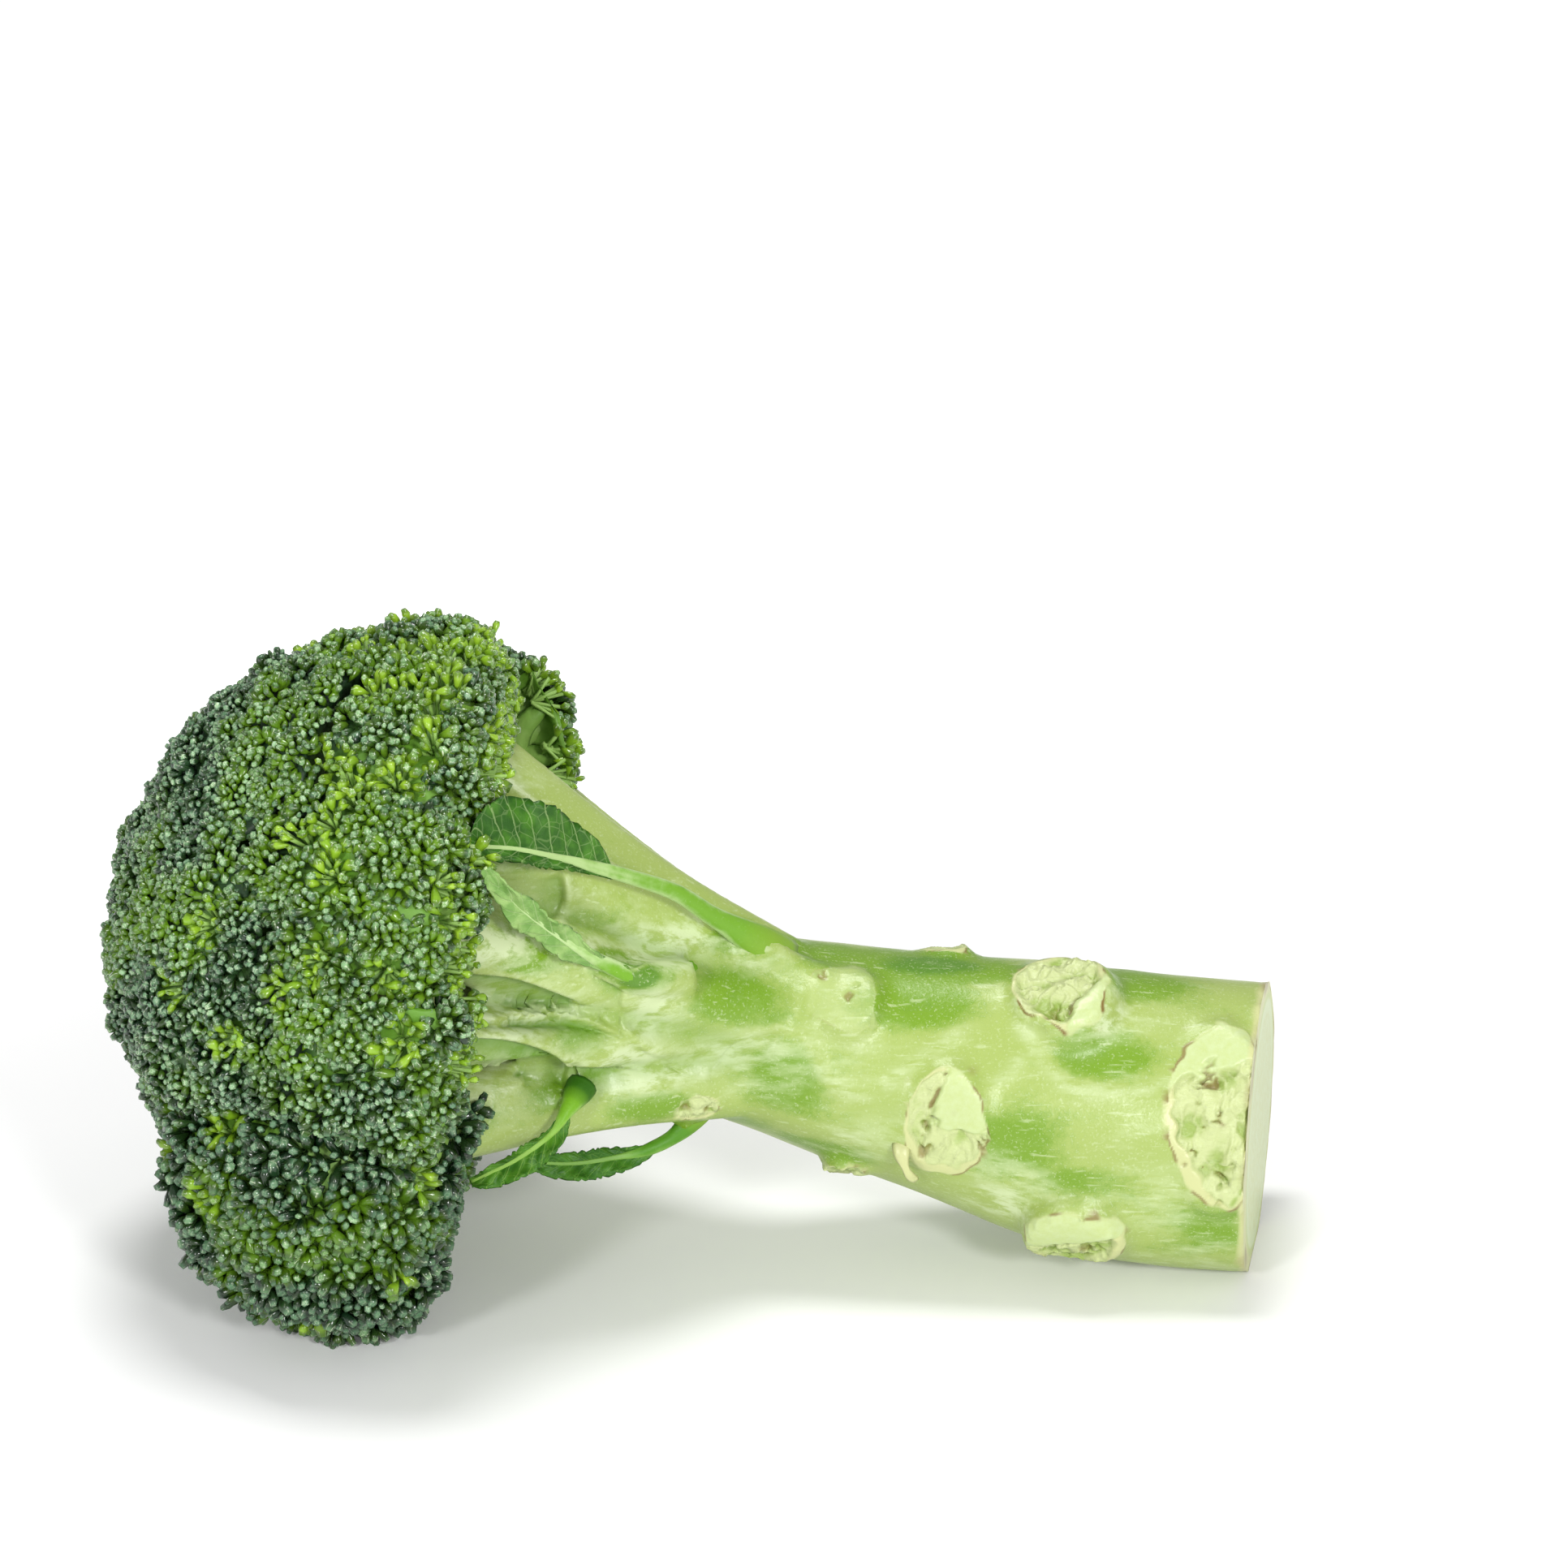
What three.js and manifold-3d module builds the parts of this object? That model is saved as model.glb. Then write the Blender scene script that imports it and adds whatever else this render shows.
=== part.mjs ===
// A head of broccoli lying on its side: a cut stalk that forks into branches, a domed crown of
// bud-covered florets, one on the end of each branch, and four small leaves left on the stalk.
// Millimetres, +Z up. The stalk's cut end points along +X and the crown along -X, and the head
// lies on z = 0 on two lower florets and the foot of its stalk.
import * as THREE from "three";
import { mergeVertices } from "three/addons/utils/BufferGeometryUtils.js";
import Module from "manifold-3d";

const wasm = await Module();
wasm.setup();

// ---- Driving dimensions ----
const CROWN_CENTRE = new THREE.Vector3(-41.3, 0, 56); // middle of the dome
const HEAD_SHIFT = new THREE.Vector3(-2.67, 1.5, 0); // brings the whole head's middle to the origin
const CROWN_TILT = 13; // degrees by which the crown's axis rises above the horizontal
const FORK_DEPTH = 46; // from the dome's middle down the axis to where the branches part
const FLORET_GAP = 0.3; // air left between two florets
const NECK_GAP = 0.3; // air left between a floret and the end of its branch
const EDGE_WIDTH = 7; // width of the band in which a floret rolls over towards its edge
const EDGE_DROP = 2.6; // how far the edge lies below the floret's dome
const SKIRT_WIDTH = 11; // the same two for the outer edge of the crown
const SKIRT_DROP = 6;
const BUD_RISE = 1.05; // how far a bud stands above the floret's dome
const BUD_SINK = 0.85; // how far the creases between buds lie below it
const CLUSTER_RISE = 1.1; // height of the knots that the buds are gathered in
const CLUSTER_PITCH = 5.2; // millimetres per radian of the wave that makes the knots
const BRANCH_SIDES = 9;
const BRANCH_STEPS = 6;
const TRUNK_SIDES = 28;
const TRUNK_STEPS = 14;
const LEAF_GAP = 0.35; // air left between a leafstalk and the stalk
const SCAR_SIDES = 11;
const LEAF_THICKNESS = 0.9;
const LEAF_STATIONS = 18;
const SEED = 20731;

// Each floret: around = degrees round the crown's axis, 0 to the front and 90 up; lean = degrees
// off the axis; reach = dome's middle to the floret's top; ball = radius of its own dome; crowd =
// how strongly it pushes its neighbours aside; skirt = how far its edge hangs below the dome's
// middle; rings = rings of its lattice of buds; neck = lean, distance from the dome's middle and
// place round the axis of the end of its branch; branch = radius of that branch.
const FLORETS = [
  {
    name: "floret_tip", around: 20, lean: 9, reach: 58, ball: 46, crowd: 1, skirt: 60,
    rings: 11, neck: [8, 31, 20], branch: 7,
  },
  {
    name: "floret_crest_front", around: 2, lean: 43, reach: 59, ball: 46, crowd: 1, skirt: 60,
    rings: 11, neck: [43, 31, 2], branch: 7,
  },
  {
    name: "floret_crest_upper", around: 68, lean: 46, reach: 60, ball: 44, crowd: 1, skirt: 60,
    rings: 11, neck: [43, 31, 68], branch: 7,
  },
  {
    name: "floret_crest_back", around: 140, lean: 44, reach: 58, ball: 46, crowd: 1, skirt: 60,
    rings: 11, neck: [43, 31, 140], branch: 7,
  },
  {
    name: "floret_crest_rear", around: 212, lean: 44, reach: 57, ball: 46, crowd: 1, skirt: 60,
    rings: 10, neck: [43, 31, 212], branch: 7,
  },
  {
    name: "floret_crest_lower", around: 286, lean: 40, reach: 55, ball: 42, crowd: 1, skirt: 60,
    rings: 11, neck: [40, 30, 286], branch: 7,
  },
  {
    name: "floret_rim_front", around: 29, lean: 76, reach: 59.5, ball: 38, crowd: 1, skirt: 5,
    rings: 12, neck: [87, 39, 26], branch: 7.7,
  },
  {
    name: "floret_rim_front_middle", around: 0, lean: 81, reach: 59.5, ball: 34, crowd: 0.985,
    skirt: 10, rings: 10, neck: [90, 41, 1], branch: 5.4,
  },
  {
    name: "floret_rim_front_low", around: -48, lean: 77, reach: 69, ball: 30, crowd: 1.05,
    skirt: 15, rings: 13, neck: [83, 40, -32], branch: 8.4,
  },
  {
    name: "floret_rim_back_low", around: -124, lean: 84, reach: 65, ball: 30, crowd: 1, skirt: 14,
    rings: 12, neck: [84, 40, -138], branch: 8.2,
  },
  {
    name: "floret_rim_back", around: 192, lean: 84, reach: 56.5, ball: 40, crowd: 1, skirt: 12,
    rings: 10, neck: [88, 40, 190], branch: 7.6,
  },
  {
    name: "floret_rim_back_high", around: 144, lean: 88, reach: 55, ball: 33, crowd: 1, skirt: 18,
    rings: 11, neck: [92, 38, 140], branch: 7.2,
  },
  {
    name: "floret_rim_top", around: 100, lean: 71, reach: 58, ball: 27, crowd: 1, skirt: 5,
    rings: 11, neck: [88, 34, 92], branch: 7.2,
  },
  {
    name: "floret_rim_front_high", around: 62, lean: 79, reach: 57.5, ball: 31, crowd: 1, skirt: 4,
    rings: 11, neck: [90, 38, 54], branch: 7.6,
  },
];

// Stations of the trunk: along = x from the dome's middle, height = its centre above the surface.
const TRUNK = [
  { along: 6, height: 55, radius: 9 },
  { along: 18, height: 51.5, radius: 13.5 },
  { along: 30, height: 48, radius: 15.6 },
  { along: 43, height: 44.6, radius: 16.2 },
  { along: 58, height: 40.3, radius: 17.2 },
  { along: 72, height: 36.6, radius: 19.2 },
  { along: 86, height: 33.4, radius: 21 },
  { along: 100, height: 30.2, radius: 23.4 },
  { along: 114, height: 26.8, radius: 24.9 },
  { along: 128, height: 24.9, radius: 25.1 },
  { along: 145, height: 23.4, radius: 25 },
];

// Where leaves were taken off the stalk: along = x from the dome's middle; around = degrees round
// the stalk, 0 to the front and 90 up; wide, tall = half its size along and round the stalk; stands
// = how far it stands out; sweep = degrees it leans towards the crown; dish = depth of its hollow.
const SCARS = [
  { along: 68, around: 64, wide: 5.6, tall: 4.6, stands: 0.9, sweep: 20, dish: 0 },
  { along: 46, around: -27, wide: 3.2, tall: 3, stands: 4, sweep: 25, dish: 0 },
  { along: 86, around: 0, wide: 7.4, tall: 10.8, stands: 1, sweep: 12, dish: 2.4 },
  { along: 70, around: -62, wide: 3.6, tall: 3.4, stands: 2.4, sweep: 30, dish: 0 },
  { along: 107, around: 77, wide: 8.4, tall: 8, stands: 2.6, sweep: 22, dish: 1.4 },
  { along: 132, around: 25, wide: 8.8, tall: 16, stands: 0.5, sweep: 4, dish: 2.8 },
  { along: 110, around: -50, wide: 7.4, tall: 6.6, stands: 3.6, sweep: 18, dish: 1.2 },
  { along: 87, around: 106, wide: 4.2, tall: 4, stands: 1.6, sweep: 24, dish: 0 },
  { along: 100, around: 172, wide: 7, tall: 9, stands: 1.2, sweep: 15, dish: 1.8 },
];
const CUT_TURN = 11; // degrees by which the cut end faces the front
const CUT_ALONG = 142.3; // where the cut crosses the stalk's middle

// Each leaf: line = points along its midrib, from the stalk outwards; face = the way its upper side
// looks; wide = the blade's width below and above the midrib at its broadest; from = share of the
// line that is bare leafstalk; rib = radius of the leafstalk; teeth = depth of its saw edge.
const LEAVES = [
  {
    name: "leaf_upper",
    line: [
      [21, -3.2, 56.4], [13.6, -8.6, 62.8], [5, -14, 69], [-1.5, -17.5, 74.5],
      [-13, -24, 80.6], [-20, -28.6, 85], [-25.5, -32.5, 88.6], [-28.4, -36.5, 91.6],
    ],
    face: [-0.1, -0.85, 0.5],
    wide: [3, 8.6],
    from: 0.5,
    rib: 1.9,
    teeth: 0.8,
  },
  {
    name: "leaf_front",
    line: [
      [-1, -21.4, 60.6], [-6.2, -27.4, 62.4], [-13, -31, 67], [-19, -35.4, 72],
      [-25.3, -40.6, 79.4], [-30, -45.4, 87.4],
    ],
    face: [-0.25, -0.95, 0.2],
    wide: [2.4, 2.4],
    from: 0.12,
    rib: 1.4,
    teeth: 0.6,
  },
  {
    name: "leaf_lower",
    line: [
      [-16.6, -25, 41.6], [-18.6, -30, 39.6], [-21.5, -32.8, 36], [-27, -34.4, 32.3],
      [-31.5, -35.2, 30.2], [-34.6, -35.6, 28.8],
    ],
    face: [0.1, -0.8, 0.6],
    wide: [3.2, 1.5],
    from: 0.1,
    rib: 1.2,
    teeth: 0.7,
  },
  {
    name: "leaf_under",
    line: [
      [3.8, -10.4, 33], [-0.6, -12.8, 28], [-6, -15, 25.6], [-12, -17, 24.9],
      [-19, -19.6, 25], [-26, -22, 26.4],
    ],
    face: [0.05, -0.9, 0.42],
    wide: [2.8, 2.2],
    from: 0.2,
    rib: 1.3,
    teeth: 0.7,
  },
];

// ---- Small tools ----
const radians = THREE.MathUtils.degToRad;
const AXIS = new THREE.Vector3(-Math.cos(radians(CROWN_TILT)), 0, Math.sin(radians(CROWN_TILT)));
const UP = new THREE.Vector3(Math.sin(radians(CROWN_TILT)), 0, Math.cos(radians(CROWN_TILT)));
const FRONT = new THREE.Vector3(0, -1, 0);
const FORK = CROWN_CENTRE.clone().addScaledVector(AXIS, -FORK_DEPTH);

// The direction that leans off the crown's axis, towards the given place round it.
function heading(lean, around) {
  const outward = FRONT.clone()
    .multiplyScalar(Math.cos(radians(around)))
    .addScaledVector(UP, Math.sin(radians(around)));
  return AXIS.clone()
    .multiplyScalar(Math.cos(radians(lean)))
    .addScaledVector(outward, Math.sin(radians(lean)));
}

// A repeatable random number from 0 to 1 on each call.
function seededRandom(seed) {
  let state = seed;
  return () => {
    state = (state + 0x6d2b79f5) | 0;
    let t = Math.imul(state ^ (state >>> 15), 1 | state);
    t = (t + Math.imul(t ^ (t >>> 7), 61 | t)) ^ t;
    return ((t ^ (t >>> 14)) >>> 0) / 4294967296;
  };
}

function geometryFrom(points, triangles) {
  const geometry = new THREE.BufferGeometry();
  const positions = points.flatMap((p) => p.toArray());
  geometry.setAttribute("position", new THREE.Float32BufferAttribute(positions, 3));
  geometry.setIndex(triangles.flat());
  return geometry;
}

function solidFrom(geometry) {
  const bare = new THREE.BufferGeometry();
  bare.setAttribute("position", geometry.getAttribute("position"));
  bare.setIndex(geometry.index);
  const merged = mergeVertices(bare, 1e-4);
  const solid = new wasm.Manifold(
    new wasm.Mesh({
      numProp: 3,
      vertProperties: new Float32Array(merged.attributes.position.array),
      triVerts: new Uint32Array(merged.index.array),
    }),
  );
  if (solid.volume() <= 0) throw new Error("a solid is inside out");
  return solid;
}

function geometryOf(solid) {
  const mesh = solid.getMesh();
  const geometry = new THREE.BufferGeometry();
  const positions = [];
  for (let i = 0; i < mesh.numVert; i++)
    positions.push(...mesh.vertProperties.subarray(i * mesh.numProp, i * mesh.numProp + 3));
  geometry.setAttribute("position", new THREE.Float32BufferAttribute(positions, 3));
  geometry.setIndex(new THREE.BufferAttribute(new Uint32Array(mesh.triVerts), 1));
  return geometry;
}

// A closed skin over a row of rings that hold the same number of points, with a fan on each end.
function loft(rings) {
  const sides = rings[0].length;
  const points = rings.flat();
  const triangles = [];
  for (let k = 0; k + 1 < rings.length; k++) {
    for (let i = 0; i < sides; i++) {
      const a = k * sides + i;
      const b = k * sides + ((i + 1) % sides);
      triangles.push([a, b, b + sides], [a, b + sides, a + sides]);
    }
  }
  for (const [ring, first, turn] of [
    [rings[0], 0, 1],
    [rings.at(-1), (rings.length - 1) * sides, -1],
  ]) {
    const middle = ring.reduce((sum, p) => sum.add(p), new THREE.Vector3()).divideScalar(sides);
    points.push(middle);
    for (let i = 0; i < sides; i++) {
      const fan = [points.length - 1, first + ((i + 1) % sides), first + i];
      triangles.push(turn > 0 ? fan : [fan[0], fan[2], fan[1]]);
    }
  }
  return geometryFrom(points, triangles);
}

// A round tube along a curve. radiusAt and swell give its radius by share of the length and angle.
function tube(curve, steps, sides, radiusAt, swell = () => 1) {
  const frames = curve.computeFrenetFrames(steps, false);
  const rings = [];
  for (let k = 0; k <= steps; k++) {
    const share = k / steps;
    const centre = curve.getPointAt(share);
    const ring = [];
    for (let i = 0; i < sides; i++) {
      const angle = (i / sides) * 2 * Math.PI;
      const radius = radiusAt(share) * swell(share, angle);
      ring.push(
        centre
          .clone()
          .addScaledVector(frames.normals[k], Math.cos(angle) * radius)
          .addScaledVector(frames.binormals[k], Math.sin(angle) * radius),
      );
    }
    rings.push(ring);
  }
  return loft(rings);
}

// The half-space below the surface that the head lies on.
function belowSurface() {
  const block = new THREE.BoxGeometry(400, 400, 50);
  block.translate(0, 0, -25);
  return solidFrom(block);
}
const FLOOR = belowSurface();

// ---- Florets ----
for (const floret of FLORETS) {
  floret.outward = heading(floret.lean, floret.around);
  floret.top = CROWN_CENTRE.clone().addScaledVector(floret.outward, floret.reach);
  floret.middle = CROWN_CENTRE.clone().addScaledVector(floret.outward, floret.reach - floret.ball);
  floret.sight = floret.top.clone().sub(FORK).normalize().multiplyScalar(floret.crowd);
  const [lean, distance, around] = floret.neck;
  floret.foot = CROWN_CENTRE.clone().addScaledVector(heading(lean, around), distance);
}

// The flat sides that keep a floret clear of its neighbours, and the level where its skirt ends.
function sidesOf(floret) {
  const sides = FLORETS.filter((other) => other !== floret).map((other) => {
    const normal = floret.sight.clone().sub(other.sight).normalize();
    const offset = normal.dot(FORK) + FLORET_GAP / 2;
    return { normal, offset, width: EDGE_WIDTH, drop: EDGE_DROP };
  });
  const offset = AXIS.dot(CROWN_CENTRE) - floret.skirt;
  sides.push({ normal: AXIS, offset, width: SKIRT_WIDTH, drop: SKIRT_DROP });
  return sides;
}

function depthInside(sides, point) {
  return Math.min(...sides.map((side) => side.normal.dot(point) - side.offset));
}

// How far the floret has rolled over at a point near one or more of the given sides.
function rollOver(sides, point) {
  return sides.reduce((most, side) => {
    const near = 1 - (side.normal.dot(point) - side.offset) / side.width;
    return near > 0 ? Math.max(most, side.drop * near * near) : most;
  }, 0);
}

// Moves a point that a bud has carried over one or more sides back inside them all.
function holdInside(sides, point) {
  for (let pass = 0; pass < 6; pass++) {
    for (const side of sides) {
      const over = side.offset - side.normal.dot(point);
      if (over > 0) point.addScaledVector(side.normal, over);
    }
  }
  return point;
}

function onDome(floret, across, along, polar, angle, lift) {
  const direction = floret.outward
    .clone()
    .multiplyScalar(Math.cos(polar))
    .addScaledVector(across, Math.sin(polar) * Math.cos(angle))
    .addScaledVector(along, Math.sin(polar) * Math.sin(angle));
  return floret.middle.clone().addScaledVector(direction, floret.ball + lift);
}

// How far round its dome a floret reaches, in one direction from its top.
function reachOfDome(floret, sides, across, along, angle) {
  const MOST = radians(112);
  let low = 0;
  let high = MOST;
  const isInside = (polar) => depthInside(sides, onDome(floret, across, along, polar, angle, 0)) > 0;
  const steps = 56;
  for (let k = 1; k <= steps; k++) {
    if (!isInside((k / steps) * MOST)) {
      high = (k / steps) * MOST;
      break;
    }
    low = (k / steps) * MOST;
  }
  for (let k = 0; k < 12 && high > low; k++) {
    const half = (low + high) / 2;
    if (isInside(half)) low = half;
    else high = half;
  }
  return low;
}

// Height of the knots of buds at a point, from -1 to 1.
function knots(point) {
  const x = point.x / CLUSTER_PITCH;
  const y = point.y / CLUSTER_PITCH;
  const z = point.z / CLUSTER_PITCH;
  const alongX = Math.sin(x + 1.3 * Math.sin(y));
  const alongY = Math.sin(y + 1.3 * Math.sin(z));
  const alongZ = Math.sin(z + 1.3 * Math.sin(x));
  return (alongX + alongY + alongZ) / 3;
}

// Points of a six-sided lattice on a disc of radius 1, ring by ring, each with its place in the
// lattice, which says whether it is the tip of a bud or a crease.
function discLattice(rings) {
  const corners = [
    [1, 0],
    [0, 1],
    [-1, 1],
    [-1, 0],
    [0, -1],
    [1, -1],
  ];
  const points = [{ q: 0, r: 0, radius: 0, angle: 0 }];
  for (let ring = 1; ring <= rings; ring++) {
    for (let side = 0; side < 6; side++) {
      const [fromQ, fromR] = corners[side];
      const [toQ, toR] = corners[(side + 1) % 6];
      for (let step = 0; step < ring; step++) {
        const q = fromQ * (ring - step) + toQ * step;
        const r = fromR * (ring - step) + toR * step;
        points.push({ q, r, radius: ring / rings, angle: ((side + step / ring) / 6) * 2 * Math.PI });
      }
    }
  }
  const place = new Map(points.map((p, i) => [p.q + "," + p.r, i]));
  const triangles = [];
  for (const p of points) {
    for (const [[q1, r1], [q2, r2]] of [
      [[1, 0], [0, 1]],
      [[0, 1], [-1, 1]],
    ]) {
      const a = place.get(p.q + "," + p.r);
      const b = place.get(p.q + q1 + "," + (p.r + r1));
      const c = place.get(p.q + q2 + "," + (p.r + r2));
      if (b !== undefined && c !== undefined) triangles.push([a, b, c]);
    }
  }
  return { points, triangles };
}

// A floret: a dome raised into buds by formula, closed below by a cone down to its branch.
function floretSolid(floret, index) {
  const random = seededRandom(SEED + index);
  const sides = sidesOf(floret);
  const walls = sides.slice(0, -1);
  const skirt = sides.at(-1);
  const across = new THREE.Vector3(0.31, 0.67, 0.67).cross(floret.outward).normalize();
  const along = floret.outward.clone().cross(across);
  const lattice = discLattice(floret.rings);
  const loose = 0.3 / floret.rings;
  const points = lattice.points.map(({ q, r, radius, angle }) => {
    const isBud = (((q - r) % 3) + 3) % 3 === 0;
    const isEdge = radius > 0.999;
    const turned = angle + (isEdge || radius === 0 ? 0 : ((random() - 0.5) * loose) / radius);
    const reach = reachOfDome(floret, sides, across, along, turned);
    const polar = Math.max(0, (radius + (isEdge ? 0 : (random() - 0.5) * loose)) * reach);
    const plain = onDome(floret, across, along, polar, turned, 0);
    const bud = isBud ? BUD_RISE * (0.75 + 0.5 * random()) : -BUD_SINK * (0.7 + 0.6 * random());
    const lift = (isEdge ? -0.2 : bud + CLUSTER_RISE * knots(plain)) - rollOver([skirt], plain);
    const point = onDome(floret, across, along, polar, turned, lift);
    point.addScaledVector(point.clone().sub(FORK).normalize(), -rollOver(walls, plain));
    return holdInside(sides, point);
  });
  const edge = lattice.points.flatMap((p, i) => (p.radius > 0.999 ? [i] : []));
  const triangles = lattice.triangles;
  const neck = ringAround(floret.foot, branchCurve(floret).getTangent(1), floret.branch * 0.98);
  stitch(points, triangles, edge, neck);
  return solidFrom(geometryFrom(points, triangles));
}

// A ring of points round a centre, square to a direction.
function ringAround(centre, direction, radius) {
  const across = new THREE.Vector3(0, 1, 0).cross(direction).normalize();
  const along = direction.clone().normalize().cross(across);
  return Array.from({ length: BRANCH_SIDES }, (_, i) => {
    const angle = (i / BRANCH_SIDES) * 2 * Math.PI;
    return centre
      .clone()
      .addScaledVector(across, Math.cos(angle) * radius)
      .addScaledVector(along, Math.sin(angle) * radius);
  });
}

// Joins the edge of a floret to the ring at its neck, always by the shorter of the two possible
// steps, and closes the ring.
function stitch(points, triangles, edge, neck) {
  const first = points.length;
  points.push(...neck);
  const span = (k, j) => points[edge[k % edge.length]].distanceTo(neck[j % neck.length]);
  let atEdge = 0;
  let atNeck = 0;
  edge.forEach((_, k) => {
    neck.forEach((__, j) => {
      if (span(k, j) < span(atEdge, atNeck)) [atEdge, atNeck] = [k, j];
    });
  });
  let edgeLeft = edge.length;
  let neckLeft = neck.length;
  while (edgeLeft + neckLeft > 0) {
    const a = edge[atEdge % edge.length];
    const b = first + (atNeck % neck.length);
    if (neckLeft === 0 || (edgeLeft > 0 && span(atEdge + 1, atNeck) <= span(atEdge, atNeck + 1))) {
      triangles.push([edge[(atEdge + 1) % edge.length], a, b]);
      atEdge++;
      edgeLeft--;
    } else {
      triangles.push([a, b, first + ((atNeck + 1) % neck.length)]);
      atNeck++;
      neckLeft--;
    }
  }
  for (let i = 1; i + 1 < neck.length; i++) triangles.push([first, first + i + 1, first + i]);
}

// ---- Stalk ----
function trunkCurve() {
  return new THREE.CatmullRomCurve3(
    TRUNK.map(({ along, height }) => new THREE.Vector3(CROWN_CENTRE.x + along, 0, height)),
  );
}

function trunkSolid() {
  const curve = trunkCurve();
  const radiusAt = (share) => {
    const x = curve.getPointAt(share).x - CROWN_CENTRE.x;
    const next = Math.max(1, TRUNK.findIndex((station) => station.along >= x - 1e-6));
    const from = TRUNK[next - 1];
    const blend = (x - from.along) / (TRUNK[next].along - from.along);
    return THREE.MathUtils.lerp(from.radius, TRUNK[next].radius, blend);
  };
  const swell = (share, angle) =>
    1 + 0.028 * Math.cos(3 * angle + 4 * share + 0.6) + 0.018 * Math.cos(5 * angle - 6 * share + 2);
  return solidFrom(tube(curve, TRUNK_STEPS, TRUNK_SIDES, radiusAt, swell));
}

// The line of the branch that carries a floret, from inside the trunk to the floret's foot.
function branchCurve(floret) {
  const outward = floret.foot.clone().sub(FORK);
  outward.addScaledVector(AXIS, -outward.dot(AXIS));
  const isRim = floret.lean > 60;
  const sideways = outward.clone().normalize();
  const start = FORK.clone()
    .addScaledVector(AXIS, isRim ? -12 : 4)
    .addScaledVector(sideways, isRim ? 7 : 3);
  const bend = start.clone().lerp(floret.foot, 0.45).addScaledVector(sideways, isRim ? -2 : 0);
  return new THREE.CatmullRomCurve3([start, bend, floret.foot]);
}

// A branch. extra thickens it, to cut the room that it needs.
function branchSolid(floret, extra) {
  const curve = branchCurve(floret);
  const steps = BRANCH_STEPS;
  const rings = [];
  for (let k = 0; k <= steps; k++) {
    const share = k / steps;
    const centre = curve.getPointAt(share);
    const tangent = curve.getTangentAt(share);
    if (k === steps) centre.addScaledVector(tangent, extra > 0 ? -0.05 : -NECK_GAP);
    const radius = floret.branch * (1.2 - 0.5 * share + 0.3 * share * share) + extra;
    rings.push(ringAround(centre, tangent, radius));
  }
  return solidFrom(loft(rings));
}

// The middle and radius of the trunk at a distance along x from the dome's middle.
function trunkAt(along) {
  const next = TRUNK.findIndex((station) => station.along >= along);
  const from = TRUNK[next - 1];
  const blend = (along - from.along) / (TRUNK[next].along - from.along);
  const height = THREE.MathUtils.lerp(from.height, TRUNK[next].height, blend);
  const radius = THREE.MathUtils.lerp(from.radius, TRUNK[next].radius, blend);
  return { middle: new THREE.Vector3(CROWN_CENTRE.x + along, 0, height), radius };
}

// The stub that a leaf left on the stalk, and the hollow in its end.
function scarSolids({ along, around, wide, tall, stands, sweep, dish }) {
  const { middle, radius } = trunkAt(along);
  const out = new THREE.Vector3(0, -Math.cos(radians(around)), Math.sin(radians(around)));
  const stalkwise = new THREE.Vector3(1, 0, 0);
  const aim = out.clone().addScaledVector(stalkwise, -Math.tan(radians(sweep)));
  const sideways = out.clone().cross(stalkwise);
  const ring = (height, size, slope) =>
    Array.from({ length: SCAR_SIDES }, (_, i) => {
      const angle = (i / SCAR_SIDES) * 2 * Math.PI;
      const x = Math.cos(angle) * wide * size * (1 + 0.06 * Math.cos(3 * angle + along));
      const t = Math.sin(angle) * tall * size;
      return middle
        .clone()
        .addScaledVector(aim, radius - 4 + height)
        .addScaledVector(stalkwise, x + radius * Math.tan(radians(sweep)))
        .addScaledVector(sideways, t)
        .addScaledVector(out, slope * x - (t * t) / (2.4 * radius));
    });
  const top = 4 + stands;
  const stub = solidFrom(loft([ring(0, 1.16, 0), ring(top, 0.97, 0.12)]));
  if (dish === 0) return { stub };
  return { stub, hollow: solidFrom(loft([ring(top - dish, 0.5, 0.12), ring(top + 4, 1.1, 0.12)])) };
}

// Everything beyond the slanting cut across the stalk's end.
function beyondCut() {
  const block = new THREE.BoxGeometry(60, 200, 200);
  block.translate(30, 0, 0);
  block.rotateZ(radians(-CUT_TURN));
  block.translate(CROWN_CENTRE.x + CUT_ALONG, 0, 25);
  return solidFrom(block);
}

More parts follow.
